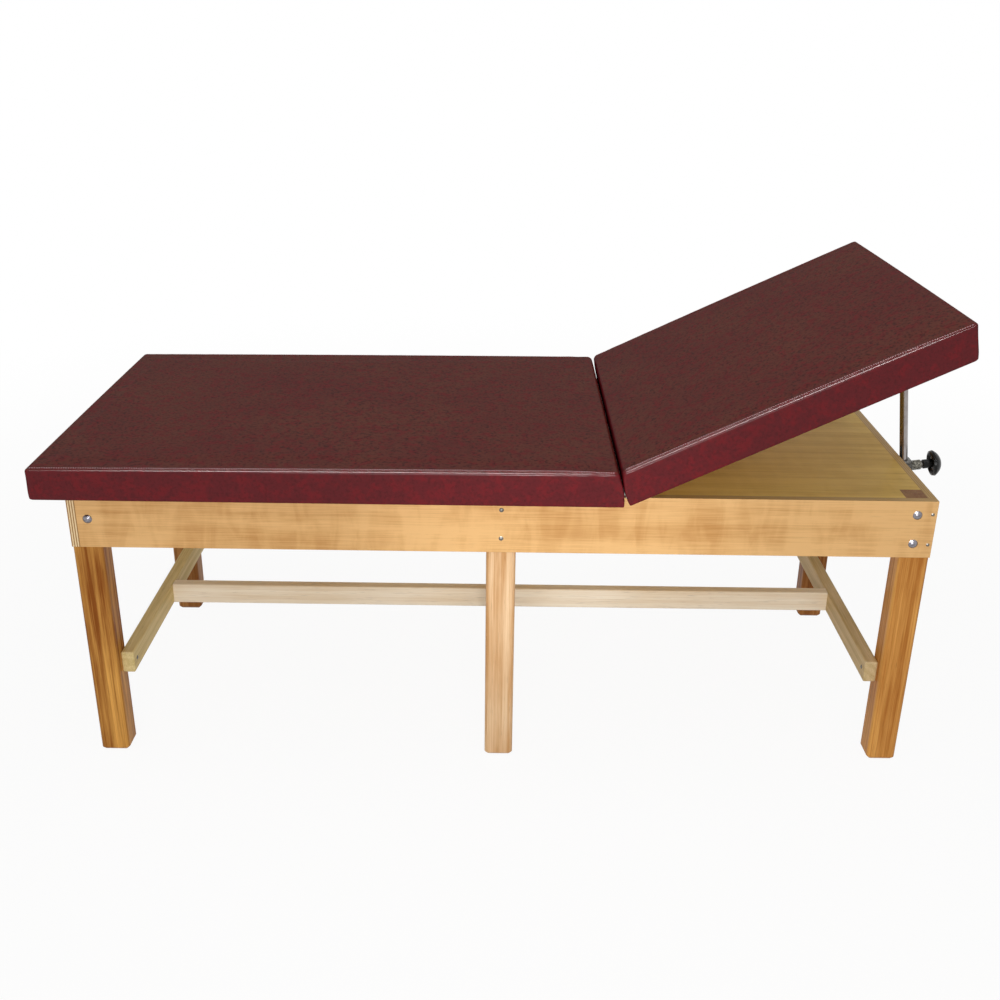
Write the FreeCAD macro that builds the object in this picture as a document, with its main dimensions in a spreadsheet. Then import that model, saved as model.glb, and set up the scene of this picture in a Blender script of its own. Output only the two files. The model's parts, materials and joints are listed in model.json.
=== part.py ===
import FreeCAD, Part
import Sketcher
import math
import os
import re

# Wooden treatment table with a two-section pad, in millimetres and degrees.
# X runs from the foot end to the head end, Y from the front to the back, Z up from the floor.
# The origin lies on the floor under the middle of the overall length.

Vector = FreeCAD.Vector
Rotation = FreeCAD.Rotation
doc = FreeCAD.newDocument("treatment_table")

# Points nearer than this count as one, and directions with a larger cosine as parallel.
SAME_PLACE = 0.001
PARALLEL = 0.999

SIZES = {
    # Frame
    "frame_middle": -42.5,
    "frame_length": 1829,
    "frame_width": 745,
    "rail_top": 648,
    "rail_height": 130,
    "ply_thickness": 18,
    "deck_thickness": 18,
    "leg_size": 63.5,
    "leg_edge_radius": 10,
    "foot_chamfer": 6,
    "notch_clearance": 0.5,
    "stretcher_thickness": 28.5,
    "stretcher_height": 51,
    "stretcher_bottom": 193,
    "stretcher_inset": 25,
    "stretcher_edge_radius": 4,
    "stretcher_end_chamfer": 2.5,
    "cleat_size": 30,
    "cleat_end_gap": 22,
    "bearer_thickness": 30,
    "bearer_height": 70,
    # Rail bolts with their washers and nuts
    "bolt_diameter": 8,
    "bolt_head_diameter": 20,
    "bolt_head_height": 5.5,
    "bolt_spread": 66,
    "bolt_end": 4,
    "washer_diameter": 22,
    "washer_thickness": 1.6,
    "nut_across": 15,
    "nut_height": 6.5,
    # Wood screws
    "middle_screw_diameter": 5,
    "middle_screw_head": 10,
    "middle_screw_length": 50,
    "corner_screw_diameter": 4,
    "corner_screw_head": 7.5,
    "corner_screw_length": 45,
    "corner_screw_spread": 70,
    "stretcher_screw_diameter": 5,
    "stretcher_screw_head": 10,
    "stretcher_screw_length": 60,
    "stretcher_screw_inset": 48,
    "seat_screw_diameter": 5,
    "seat_screw_head": 10,
    "seat_screw_length": 30,
    "seat_screw_rows": 3,
    "seat_screw_pitch": 360,
    "seat_screw_start": 120,
    "seat_screw_spread": 420,
    "plate_screw_diameter": 4.5,
    "plate_screw_head": 9,
    "plate_screw_length": 18,
    "plate_screw_inset": 8,
    "screw_head_height": 2,
    "hole_clearance": 0.15,
    # How far a drill or a cutter runs on past the faces that it opens
    "overcut": 1,
    # Pads
    "foot_overhang": 55,
    "head_overhang": 92.5,
    "side_overhang": 53,
    "back_length": 754,
    "back_angle": 25.8,
    "board_thickness": 19,
    "foam_thickness": 49.6,
    "cover_thickness": 1.2,
    "cover_fit": 0.2,
    "pad_corner_radius": 14,
    "break_corner_radius": 5,
    "pad_crown": 5,
    "side_draw": 3,
    "shoulder_draw": 0.9,
    # Slopes of the free ends, which stand out furthest at the top
    "foot_end_slope": 2,
    "head_end_slope": 16.5,
    # Heights of the fullest line and of the shoulder above it, as shares of the foam's thickness
    "belly_share": 0.45,
    "shoulder_share": 0.8,
    "crease_angle": 20,
    "deck_gap": 0.5,
    "return_clearance": 3,
    # Piano hinge, as long as the pads are wide but for a gap at each end
    "hinge_end_gap": 25.5,
    "knuckle_pitch": 50,
    "knuckle_gap": 0.5,
    "pin_diameter": 3.2,
    "leaf_thickness": 1.5,
    "leaf_height": 17,
    "leaf_gap": 0.25,
    "channel_clearance": 0.6,
    "hinge_screw_diameter": 3,
    "hinge_screw_head": 6,
    "hinge_screw_length": 18,
    "hinge_screw_inset": 50,
    "running_clearance": 0.05,
    # Lifting rod and its bracket under the back board
    "rod_diameter": 19,
    "rod_length": 582,
    "rod_top": 9,
    "rod_chamfer": 2.5,
    "pivot_drop": 17,
    "pivot_pin_diameter": 8,
    "pivot_pin_head": 13,
    "pivot_pin_head_height": 3,
    "pivot_pin_chamfer": 1,
    "bracket_length": 64,
    "bracket_set_back": 20,
    "bracket_width": 70,
    "bracket_thickness": 3,
    "cheek_thickness": 4,
    "cheek_radius": 11,
    "side_clearance": 0.4,
    "stop_diameter": 26,
    "stop_height": 8,
    "stop_inset": 3,
    # Swivel clamp on the head end rail
    "clamp_stand_off": 52,
    "clamp_drop": 66,
    "block_size": 34,
    "block_height": 36,
    "block_edge_radius": 5,
    "block_chamfer": 2,
    "bore_clearance": 0.4,
    "boss_diameter": 22,
    "boss_reach": 40,
    "plate_width": 86,
    "plate_height": 66,
    "plate_thickness": 4,
    "plate_corner_radius": 6,
    "ear_thickness": 4,
    "ear_radius": 12,
    "swivel_pin_diameter": 8,
    "swivel_pin_head": 14,
    "swivel_pin_head_height": 4,
    "swivel_pin_depth": 6,
    "swivel_pin_gap": 0.3,
    # Clamp screw, its pressure pad and the knob
    "screw_diameter": 12,
    "screw_clearance": 0.3,
    "tip_gap": 0.3,
    "tip_length": 6,
    "spigot_diameter": 5,
    "spigot_length": 4,
    "knob_gap": 4,
    "knob_diameter": 62,
    "hub_diameter": 22,
    "hub_length": 22,
    "hub_chamfer": 1.5,
    "head_length": 22,
    "head_dome": 18,
    "rim_back": 3,
    "rim_width": 6,
    "knob_socket": 18,
}

DERIVED = {
    "half_length": "frame_length / 2",
    "half_width": "frame_width / 2",
    "rail_bottom": "rail_top - rail_height",
    "rail_mid": "rail_top - rail_height / 2",
    "tongue": "leg_size - ply_thickness",
    "bolt_inset": "ply_thickness + tongue / 2",
    "deck_bottom": "rail_top - deck_thickness",
    "stretcher_mid": "stretcher_bottom + stretcher_height / 2",
    "hinge_x": "half_length + head_overhang - back_length",
    "hinge_z": "rail_top + board_thickness",
    "seat_length": "hinge_x + half_length + foot_overhang",
    "pad_half_width": "half_width + side_overhang",
    "back_board_thickness": "board_thickness - deck_gap",
    "pad_edge": "foam_thickness + cover_thickness",
    "knuckle_radius": "pin_diameter / 2 + leaf_thickness",
    "break_gap": "leaf_gap + leaf_thickness",
    "hinge_length": "2 * (pad_half_width - hinge_end_gap)",
    # The knuckles share out the whole length of the hinge, near the pitch that is asked for.
    "knuckle_count": "round(hinge_length / (2 * knuckle_pitch))",
    "knuckle_step": "hinge_length / (2 * knuckle_count)",
    "hinge_screw_step": "(hinge_length - 2 * hinge_screw_inset) / (knuckle_count - 1)",
    "leaf_top": "knuckle_radius + knuckle_gap",
    "leaf_mid": "(leaf_height + leaf_top) / 2",
    "clamp_x": "half_length + clamp_stand_off",
    "clamp_z": "rail_top - clamp_drop",
    "clamp_fall": "hinge_z - clamp_z",
    # The clamp and the rod's pivot lie on one circle about the hinge.
    # So the rod turns half as far as the back does.
    "reach": "sqrt((clamp_x - hinge_x) ^ 2 + clamp_fall ^ 2)",
    "pivot_depth": "back_board_thickness + cover_thickness + pivot_drop",
    "pivot_reach": "sqrt(reach ^ 2 - pivot_depth ^ 2)",
    "bracket_mid": "pivot_reach - bracket_set_back",
    "clamp_dip": "asin(clamp_fall / reach) / 1deg",
    "pivot_dip": "asin(pivot_depth / reach) / 1deg",
    "rod_lean": "(back_angle - pivot_dip - clamp_dip) / 2",
    "rod_span": "2 * reach * sin((back_angle - pivot_dip + clamp_dip) / 2 * 1deg)",
    "rod_radius": "rod_diameter / 2",
    "rod_end": "rod_span - rod_length",
    "cheek_inside": "rod_radius + side_clearance",
    "ear_inside": "block_size / 2 + side_clearance",
    "ear_outside": "ear_inside + ear_thickness",
    "tip_start": "rod_radius + tip_gap",
    "tip_end": "tip_start + tip_length",
    "knob_start": "boss_reach + knob_gap",
    "head_start": "knob_start + hub_length",
    "knob_end": "head_start + head_length",
}

sheet = doc.addObject("Spreadsheet::Sheet", "dims")
row = 0
for alias, value in SIZES.items():
    row += 1
    sheet.set("A%d" % row, str(value))
    sheet.setAlias("A%d" % row, alias)
for alias, formula in DERIVED.items():
    row += 1
    sheet.set("A%d" % row, "=" + formula)
    sheet.setAlias("A%d" % row, alias)
doc.recompute()

ALIASES = set(SIZES) | set(DERIVED)
nodes = []


# Sizes as numbers and as expressions


def number(text):
    return float(sheet.evalExpression(text))


def bound(text):
    def cell(word):
        return "dims." + word.group() if word.group() in ALIASES else word.group()

    return re.sub("[a-z_]+", cell, text)


def place(item, x="0", y="0", z="0", turn=(Vector(0, 0, 1), "0")):
    """Put an item at a place given by expressions, turned about an axis by an angle in degrees."""
    axis, angle = turn
    item.Placement = FreeCAD.Placement(Vector(), Rotation(axis, number(angle)))
    for coordinate, text in zip("xyz", (x, y, z)):
        item.setExpression("Placement.Base." + coordinate, bound(text))
    if bound(angle) != angle:
        item.setExpression("Placement.Rotation.Angle", "(%s) * 1deg" % bound(angle))


def in_seat_frame(item):
    """Pad frame of the seat: origin on the hinge axis, X towards the foot end."""
    place(item, "frame_middle + hinge_x", "0", "hinge_z", (Vector(0, 0, 1), "180"))


def in_back_frame(item):
    """Pad frame of the back: origin on the hinge axis, X along the raised board."""
    place(item, "frame_middle + hinge_x", "0", "hinge_z", (Vector(0, -1, 0), "back_angle"))


def in_rod_frame(item):
    """Rod frame: origin on the clamp's swivel axis, Z up the leaning rod, X out towards the knob."""
    place(item, "frame_middle + clamp_x", "0", "clamp_z", (Vector(0, -1, 0), "rod_lean"))


def in_screw_frame(item):
    """Screw frame: origin on the clamp's swivel axis, Z out along the clamp screw."""
    place(item, "frame_middle + clamp_x", "0", "clamp_z", (Vector(0, 1, 0), "90 - rod_lean"))


def node(item, label):
    item.Label = label
    nodes.append(item)
    return item


# Sketches


def new_body(name):
    return doc.addObject("PartDesign::Body", name)


def sketch_on(body, name, role, height="0"):
    sketch = body.newObject("Sketcher::SketchObject", name)
    plane = next(item for item in body.Origin.OriginFeatures if item.Role == role)
    sketch.AttachmentSupport = [(plane, "")]
    sketch.MapMode = "FlatFace"
    sketch.setExpression("AttachmentOffset.Base.z", bound(height))
    return sketch


def drive(sketch, constraint, text):
    index = sketch.addConstraint(constraint)
    sketch.setExpression("Constraints[%d]" % index, bound(text))


def fix_point(sketch, edge, end, x, y):
    for kind, axis, text in (("DistanceX", -2, x), ("DistanceY", -1, y)):
        if text == "0":
            sketch.addConstraint(Sketcher.Constraint("PointOnObject", edge, end, axis))
        else:
            drive(sketch, Sketcher.Constraint(kind, -1, 1, edge, end, number(text)), text)


def arc_between(start, stop, radius, side):
    chord = stop - start
    rise = radius - math.sqrt(radius**2 - (chord.Length / 2) ** 2)
    across = Vector(chord.y, -chord.x, 0).normalize()
    return Part.Arc(start, (start + stop) * 0.5 + across * rise * side, stop)


def outline(sketch, corners):
    """Closed outline through corners (x, y), or (x, y, radius, side) where an arc leaves the corner."""
    spots = [Vector(number(corner[0]), number(corner[1]), 0) for corner in corners]
    first = []
    for index, corner in enumerate(corners):
        start = spots[index]
        stop = spots[(index + 1) % len(spots)]
        if len(corner) == 4:
            sketch.addGeometry(arc_between(start, stop, number(corner[2]), corner[3]))
        else:
            sketch.addGeometry(Part.LineSegment(start, stop))
        first.append(1 if sketch.getPoint(index, 1).distanceToPoint(start) < SAME_PLACE else 2)
    for index, corner in enumerate(corners):
        following = (index + 1) % len(corners)
        ends = (index, 3 - first[index], following, first[following])
        sketch.addConstraint(Sketcher.Constraint("Coincident", *ends))
        fix_point(sketch, index, first[index], corner[0], corner[1])
        if len(corner) == 4:
            drive(sketch, Sketcher.Constraint("Radius", index, number(corner[2])), corner[2])


def rectangle(sketch, x_low, x_high, y_low, y_high):
    outline(sketch, [(x_low, y_low), (x_high, y_low), (x_high, y_high), (x_low, y_high)])


def rounded(sketch, x_low, x_high, y_low, y_high, radius_low, radius_high):
    """Rectangle with one corner radius at its low X end and one at its high X end."""
    left, right, bottom, top, small, large = (
        number(text) for text in (x_low, x_high, y_low, y_high, radius_low, radius_high)
    )
    lines = [
        (Vector(left + small, bottom), Vector(right - large, bottom)),
        (Vector(right, bottom + large), Vector(right, top - large)),
        (Vector(right - large, top), Vector(left + small, top)),
        (Vector(left, top - small), Vector(left, bottom + small)),
    ]
    arcs = [
        (Vector(right - large, bottom + large), large, -90),
        (Vector(right - large, top - large), large, 0),
        (Vector(left + small, top - small), small, 90),
        (Vector(left + small, bottom + small), small, 180),
    ]
    for start, stop in lines:
        sketch.addGeometry(Part.LineSegment(start, stop))
    for centre, radius, begin in arcs:
        circle = Part.Circle(centre, Vector(0, 0, 1), radius)
        sketch.addGeometry(Part.ArcOfCircle(circle, math.radians(begin), math.radians(begin + 90)))
    for index in range(4):
        sketch.addConstraint(Sketcher.Constraint("Tangent", index, 2, 4 + index, 1))
        sketch.addConstraint(Sketcher.Constraint("Tangent", 4 + index, 2, (index + 1) % 4, 1))
    for index, kind in enumerate(("Horizontal", "Vertical", "Horizontal", "Vertical")):
        sketch.addConstraint(Sketcher.Constraint(kind, index))
    sketch.addConstraint(Sketcher.Constraint("Equal", 4, 5))
    sketch.addConstraint(Sketcher.Constraint("Equal", 6, 7))
    drive(sketch, Sketcher.Constraint("Radius", 4, large), radius_high)
    drive(sketch, Sketcher.Constraint("Radius", 6, small), radius_low)
    drive(sketch, Sketcher.Constraint("DistanceX", -1, 1, 3, 1, left), x_low)
    drive(sketch, Sketcher.Constraint("DistanceX", -1, 1, 1, 1, right), x_high)
    drive(sketch, Sketcher.Constraint("DistanceY", -1, 1, 0, 1, bottom), y_low)
    drive(sketch, Sketcher.Constraint("DistanceY", -1, 1, 2, 1, top), y_high)


def round_hole(sketch, x, y, radius):
    centre = Vector(number(x), number(y), 0)
    index = sketch.addGeometry(Part.Circle(centre, Vector(0, 0, 1), number(radius)))
    fix_point(sketch, index, 3, x, y)
    drive(sketch, Sketcher.Constraint("Radius", index, number(radius)), radius)


# Features


def pad(sketch, length, side="One side", reverse=False):
    body = sketch.getParentGeoFeatureGroup()
    feature = body.newObject("PartDesign::Pad", sketch.Name + "_pad")
    feature.Profile = sketch
    feature.SideType = side
    feature.Reversed = reverse
    feature.setExpression("Length", bound(length))
    return feature


def pocket(sketch, length=None):
    """Cut a sketch right through its body, or to a length on both sides of the sketch together."""
    body = sketch.getParentGeoFeatureGroup()
    doc.recompute()
    before = body.Shape.Volume
    feature = body.newObject("PartDesign::Pocket", sketch.Name + "_pocket")
    feature.Profile = sketch
    feature.SideType = "Symmetric"
    if length:
        feature.setExpression("Length", bound(length))
    else:
        feature.Type = "ThroughAll"
    doc.recompute()
    if body.Shape.Volume >= before:
        raise RuntimeError(sketch.Name + " cuts nothing")
    return feature


def turned(name, corners):
    """Body turned about Z from a half outline of (radius, height) corners."""
    body = new_body(name)
    sketch = sketch_on(body, name + "_outline", "XZ_Plane")
    outline(sketch, corners)
    feature = body.newObject("PartDesign::Revolution", name + "_turn")
    feature.Profile = sketch
    feature.ReferenceAxis = (sketch, ["V_Axis"])
    feature.Angle = 360
    return body


def edges_where(feature, test):
    """Names of the edges of a feature whose two ends both pass a test."""
    doc.recompute()
    names = []
    for index, edge in enumerate(feature.Shape.Edges, 1):
        if all(test(vertex.Point) for vertex in edge.Vertexes) and len(edge.Vertexes) == 2:
            names.append("Edge%d" % index)
    return names


def long_edges(feature, axis):
    """Names of the straight edges of a feature that run along an axis."""
    doc.recompute()
    names = []
    for index, edge in enumerate(feature.Shape.Edges, 1):
        run = edge.Vertexes[-1].Point - edge.Vertexes[0].Point
        if run.Length > 0 and abs(run.normalize().dot(axis)) > PARALLEL:
            names.append("Edge%d" % index)
    return names


def chamfer(feature, edges, size):
    body = feature.getParentGeoFeatureGroup()
    result = body.newObject("PartDesign::Chamfer", feature.Name + "_chamfer")
    result.Base = (feature, edges)
    result.setExpression("Size", bound(size))
    return result


def block(name, size, corner):
    """Rectangular piece of wood with its size and low corner as expressions."""
    item = doc.addObject("Part::Box", name)
    for side, text in zip(("Length", "Width", "Height"), size):
        item.setExpression(side, bound(text))
    place(item, *corner)
    return item


def cut(name, base, tool):
    item = doc.addObject("Part::Cut", name)
    item.Base = base
    item.Tool = tool
    return item


def group(name, items):
    item = doc.addObject("Part::Compound", name)
    item.Links = items
    return item


def copies(name, master, places):
    """Equal copies of a master piece, one at each place of (x, y, z, turn)."""
    links = []
    for index, (x, y, z, turn) in enumerate(places):
        link = doc.addObject("App::Link", "%s_%d" % (name, index + 1))
        link.LinkedObject = master
        link.LinkTransform = True
        place(link, x, y, z, turn)
        links.append(link)
    return group(name, links)


# Fasteners lie along Z, with the seat of the head at zero and the shank below.


def drill(name, radius, depth):
    master = doc.addObject("Part::Cylinder", name)
    master.setExpression("Radius", bound("%s + hole_clearance" % radius))
    master.setExpression("Height", bound("%s + 2 * overcut" % depth))
    place(master, z="-(%s + overcut)" % depth)
    return master


def pan_screw(name, head, diameter, length):
    dome = "((%s / 2) ^ 2 + screw_head_height ^ 2) / (2 * screw_head_height)" % head
    return turned(
        name,
        [
            ("0", "-(%s)" % length),
            ("%s / 2" % diameter, "-(%s)" % length),
            ("%s / 2" % diameter, "0"),
            ("%s / 2" % head, "0", dome, 1),
            ("0", "screw_head_height"),
        ],
    )


OUT_FRONT = (Vector(1, 0, 0), "90")
OUT_BACK = (Vector(1, 0, 0), "-90")
OUT_FOOT = (Vector(0, 1, 0), "-90")
OUT_HEAD = (Vector(0, 1, 0), "90")
OUT_DOWN = (Vector(1, 0, 0), "180")

# Two bolts at one end of each rail and one at the other, so that the bolts of a corner pass each other.
UPPER_BOLT = "rail_mid + bolt_spread / 2"
LOWER_BOLT = "rail_mid - bolt_spread / 2"
HEAD_X = "frame_middle + half_length"
FOOT_X = "frame_middle - half_length"
bolt_places = [
    (FOOT_X + " + bolt_inset", "-half_width", "rail_mid", OUT_FRONT),
    (HEAD_X + " - bolt_inset", "half_width", "rail_mid", OUT_BACK),
    (HEAD_X, "-half_width + bolt_inset", "rail_mid", OUT_HEAD),
    (FOOT_X, "half_width - bolt_inset", "rail_mid", OUT_FOOT),
]
for height in (UPPER_BOLT, LOWER_BOLT):
    bolt_places += [
        (HEAD_X + " - bolt_inset", "-half_width", height, OUT_FRONT),
        (FOOT_X + " + bolt_inset", "half_width", height, OUT_BACK),
        (HEAD_X, "half_width - bolt_inset", height, OUT_HEAD),
        (FOOT_X, "-half_width + bolt_inset", height, OUT_FOOT),
    ]

middle_places = []
for height in (UPPER_BOLT, LOWER_BOLT):
    middle_places += [
        ("frame_middle", "-half_width", height, OUT_FRONT),
        ("frame_middle", "half_width", height, OUT_BACK),
    ]

corner_places = []
for height in ("rail_mid + corner_screw_spread / 2", "rail_mid - corner_screw_spread / 2"):
    corner_places += [
        (HEAD_X + " - ply_thickness / 2", "-half_width", height, OUT_FRONT),
        (FOOT_X + " + ply_thickness / 2", "half_width", height, OUT_BACK),
        (HEAD_X, "half_width - ply_thickness / 2", height, OUT_HEAD),
        (FOOT_X, "-half_width + ply_thickness / 2", height, OUT_FOOT),
    ]

# Screws from the inner faces of the end stretchers into the legs
INNER_REACH = "half_length - leg_size - stretcher_thickness"
stretcher_places = []
for side in ("-", ""):
    across = "%s(half_width - stretcher_screw_inset)" % side
    stretcher_places += [
        ("frame_middle - (%s)" % INNER_REACH, across, "stretcher_mid", OUT_HEAD),
        ("frame_middle + %s" % INNER_REACH, across, "stretcher_mid", OUT_FOOT),
    ]
# Screws through the end stretchers into the ends of the long one
long_places = [
    (FOOT_X + " + leg_size", "0", "stretcher_mid", OUT_FOOT),
    (HEAD_X + " - leg_size", "0", "stretcher_mid", OUT_HEAD),
]
# Screws up through the deck into the seat board
seat_places = []
for index in range(int(number("seat_screw_rows"))):
    for side in ("-", ""):
        along = "frame_middle + hinge_x - seat_screw_start - %d * seat_screw_pitch" % index
        seat_places.append((along, side + "seat_screw_spread / 2", "deck_bottom", OUT_DOWN))


def bolts():
    dome = "((bolt_head_diameter / 2) ^ 2 + bolt_head_height ^ 2) / (2 * bolt_head_height)"
    end = "-(leg_size + washer_thickness + nut_height + bolt_end)"
    bolt = turned(
        "rail_bolt",
        [
            ("0", end),
            ("bolt_diameter / 2", end),
            ("bolt_diameter / 2", "0"),
            ("bolt_head_diameter / 2", "0", dome, 1),
            ("0", "bolt_head_height"),
        ],
    )
    hole = "bolt_diameter / 2 + hole_clearance"
    seat = "-(leg_size + washer_thickness)"
    washer = turned(
        "rail_bolt_washer",
        [
            (hole, seat),
            ("washer_diameter / 2", seat),
            ("washer_diameter / 2", "-leg_size"),
            (hole, "-leg_size"),
        ],
    )
    nut = new_body("rail_bolt_nut")
    sketch = sketch_on(nut, "rail_bolt_nut_outline", "XY_Plane", seat)
    radius = "nut_across / 2 / cos(30deg)"
    hexagon = [(radius + " * cos(%ddeg)" % (60 * k), radius + " * sin(%ddeg)" % (60 * k)) for k in range(6)]
    hexagon[0] = (radius, "0")
    hexagon[3] = ("-(%s)" % radius, "0")
    outline(sketch, hexagon)
    round_hole(sketch, "0", "0", hole)
    pad(sketch, "nut_height", reverse=True)
    node(copies("bolt_set", bolt, bolt_places), "rail_bolts")
    node(copies("washer_set", washer, bolt_places), "rail_bolt_washers")
    node(copies("nut_set", nut, bolt_places), "rail_bolt_nuts")
    return copies("bolt_holes", drill("bolt_drill", "bolt_diameter / 2", "leg_size"), bolt_places)


def screws(label, size, places):
    """A set of pan-head wood screws and the holes that they need."""
    diameter = size + "_diameter"
    screw = pan_screw(label + "_one", size + "_head", diameter, size + "_length")
    node(copies(label + "_set", screw, places), label)
    bit = drill(label + "_drill", diameter + " / 2", size + "_length")
    return copies(label + "_holes", bit, places)


bolt_holes = bolts()
middle_holes = screws("middle_leg_screws", "middle_screw", middle_places)
corner_holes = screws("corner_screws", "corner_screw", corner_places)
stretcher_holes = screws("stretcher_screws", "stretcher_screw", stretcher_places)
long_holes = screws("long_stretcher_screws", "stretcher_screw", long_places)
seat_holes = screws("seat_board_screws", "seat_screw", seat_places)

# Clamp plate screws, at the corners of the plate on the head end rail
clamp_places = []
for across in ("-(plate_width / 2 - plate_screw_inset)", "plate_width / 2 - plate_screw_inset"):
    for rise in ("-(plate_height / 2 - plate_screw_inset)", "plate_height / 2 - plate_screw_inset"):
        clamp_places.append((HEAD_X + " + plate_thickness", across, "clamp_z + " + rise, OUT_HEAD))
clamp_holes = screws("clamp_bracket_screws", "plate_screw", clamp_places)
frame_holes = group(
    "frame_holes",
    [bolt_holes, middle_holes, corner_holes, stretcher_holes, long_holes, clamp_holes],
)


# Wooden frame


def rails():
    """Four ply rails that overlap end over end in the same turning sense."""
    long_size = ("frame_length - ply_thickness", "ply_thickness", "rail_height")
    end_size = ("ply_thickness", "frame_width - ply_thickness", "rail_height")
    blanks = {
        "front_rail": (long_size, (FOOT_X + " + ply_thickness", "-half_width", "rail_bottom")),
        "back_rail": (long_size, (FOOT_X, "half_width - ply_thickness", "rail_bottom")),
        "foot_end_rail": (end_size, (FOOT_X, "-half_width", "rail_bottom")),
        "head_end_rail": (
            end_size,
            (HEAD_X + " - ply_thickness", "-half_width + ply_thickness", "rail_bottom"),
        ),
    }
    for label, (size, corner) in blanks.items():
        blank = block(label + "_blank", size, corner)
        node(cut(label + "_cut", blank, frame_holes), label)


def leg(label, x, y, turn, tongue_start):
    """Square leg with rounded edges; its shoulder carries the rails and its tongue rises to the deck."""
    body = new_body(label + "_blank")
    foot = sketch_on(body, label + "_section", "XY_Plane")
    rounded(foot, "0", "leg_size", "0", "leg_size", "leg_edge_radius", "leg_edge_radius")
    shaft = pad(foot, "rail_bottom")
    chamfer(shaft, edges_where(shaft, lambda point: abs(point.z) < SAME_PLACE), "foot_chamfer")
    tongue = sketch_on(body, label + "_tongue", "XY_Plane", "rail_bottom")
    rectangle(tongue, tongue_start, "leg_size", "ply_thickness", "leg_size")
    pad(tongue, "rail_height")
    place(body, x, y, "0", (Vector(0, 0, 1), turn))
    node(cut(label + "_cut", body, frame_holes), label)


def legs():
    leg("leg_front_foot", FOOT_X, "-half_width", "0", "ply_thickness")
    leg("leg_front_head", HEAD_X, "-half_width", "90", "ply_thickness")
    leg("leg_back_head", HEAD_X, "half_width", "180", "ply_thickness")
    leg("leg_back_foot", FOOT_X, "half_width", "270", "ply_thickness")
    leg("leg_front_middle", "frame_middle - leg_size / 2", "-half_width", "0", "0")
    leg("leg_back_middle", "frame_middle + leg_size / 2", "half_width", "180", "0")


def stretcher(label, x, y, length, turn, free_ends):
    """Stretcher of rectangular section with eased edges, run along its own X. Free ends are eased too."""
    body = new_body(label + "_blank")
    section = sketch_on(body, label + "_section", "YZ_Plane")
    half = "stretcher_thickness / 2"
    top = "stretcher_bottom + stretcher_height"
    radius = "stretcher_edge_radius"
    rounded(section, "-%s" % half, half, "stretcher_bottom", top, radius, radius)
    bar = pad(section, length, "Symmetric")
    if free_ends:
        tip = number(length) / 2
        ends = edges_where(bar, lambda point: abs(point.x) > tip - SAME_PLACE)
        ends = [name for name in ends if name not in long_edges(bar, Vector(1, 0, 0))]
        chamfer(bar, ends, "stretcher_end_chamfer")
    place(body, x, y, "0", (Vector(0, 0, 1), turn))
    node(cut(label + "_cut", body, frame_holes), label)


def stretchers():
    inner = "half_length - leg_size - stretcher_thickness / 2"
    end_length = "frame_width - 2 * stretcher_inset"
    stretcher("foot_stretcher", "frame_middle - (%s)" % inner, "0", end_length, "90", True)
    stretcher("head_stretcher", "frame_middle + %s" % inner, "0", end_length, "90", True)
    stretcher("long_stretcher", "frame_middle", "0", "2 * (%s)" % INNER_REACH, "0", False)


def deck():
    """Ply deck let in flush between the rails and notched round the leg tongues, with what carries it."""
    body = new_body("deck_blank")
    sketch = sketch_on(body, "deck_outline", "XY_Plane", "deck_bottom")
    far_x = "(half_length - ply_thickness)"
    far_y = "(half_width - ply_thickness)"
    corner_x = "(half_length - leg_size - notch_clearance)"
    notch_y = "(half_width - leg_size - notch_clearance)"
    middle_x = "(leg_size / 2 + notch_clearance)"
    front = [
        ("-" + far_x, "-" + notch_y),
        ("-" + corner_x, "-" + notch_y),
        ("-" + corner_x, "-" + far_y),
        ("-" + middle_x, "-" + far_y),
        ("-" + middle_x, "-" + notch_y),
        (middle_x, "-" + notch_y),
        (middle_x, "-" + far_y),
        (corner_x, "-" + far_y),
        (corner_x, "-" + notch_y),
        (far_x, "-" + notch_y),
    ]
    back = [(x[1:] if x[0] == "-" else "-" + x, y[1:]) for x, y in front]
    outline(sketch, front + back)
    pad(sketch, "deck_thickness")
    place(body, "frame_middle")
    node(cut("deck_cut", body, seat_holes), "deck_panel")

    inside = "frame_width - 2 * leg_size"
    bearer_corner = (
        "frame_middle - bearer_thickness / 2",
        "-(%s) / 2" % inside,
        "deck_bottom - bearer_height",
    )
    node(block("bearer", ("bearer_thickness", inside, "bearer_height"), bearer_corner), "deck_bearer")

    bottom = "deck_bottom - cleat_size"
    side_length = "half_length - 1.5 * leg_size - 2 * cleat_end_gap"
    cleats = []
    for name, x in (
        ("foot", FOOT_X + " + leg_size + cleat_end_gap"),
        ("head", "frame_middle + leg_size / 2 + cleat_end_gap"),
    ):
        for side, y in (
            ("front", "-half_width + ply_thickness"),
            ("back", "half_width - ply_thickness - cleat_size"),
        ):
            size = (side_length, "cleat_size", "cleat_size")
            cleats.append(block("cleat_%s_%s" % (side, name), size, (x, y, bottom)))
    node(group("side_cleat_set", cleats), "deck_side_cleats")

    end_size = ("cleat_size", inside + " - 2 * cleat_end_gap", "cleat_size")
    end_y = "-(half_width - leg_size - cleat_end_gap)"
    ends = [
        block("cleat_foot_end", end_size, (FOOT_X + " + ply_thickness", end_y, bottom)),
        block("cleat_head_end", end_size, (HEAD_X + " - ply_thickness - cleat_size", end_y, bottom)),
    ]
    node(group("end_cleat_set", ends), "deck_end_cleats")


# Pads, built in a frame with its origin on the hinge axis, X along the board and Z up from the board's top


def lofted(body, sections):
    """Solid with flat or ruled sides through outlines at different heights."""
    loft = body.newObject("PartDesign::AdditiveLoft", body.Name + "_loft")
    loft.Profile = sections[0]
    loft.Sections = [(section, [""]) for section in sections[1:]]
    loft.Ruled = True


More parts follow.
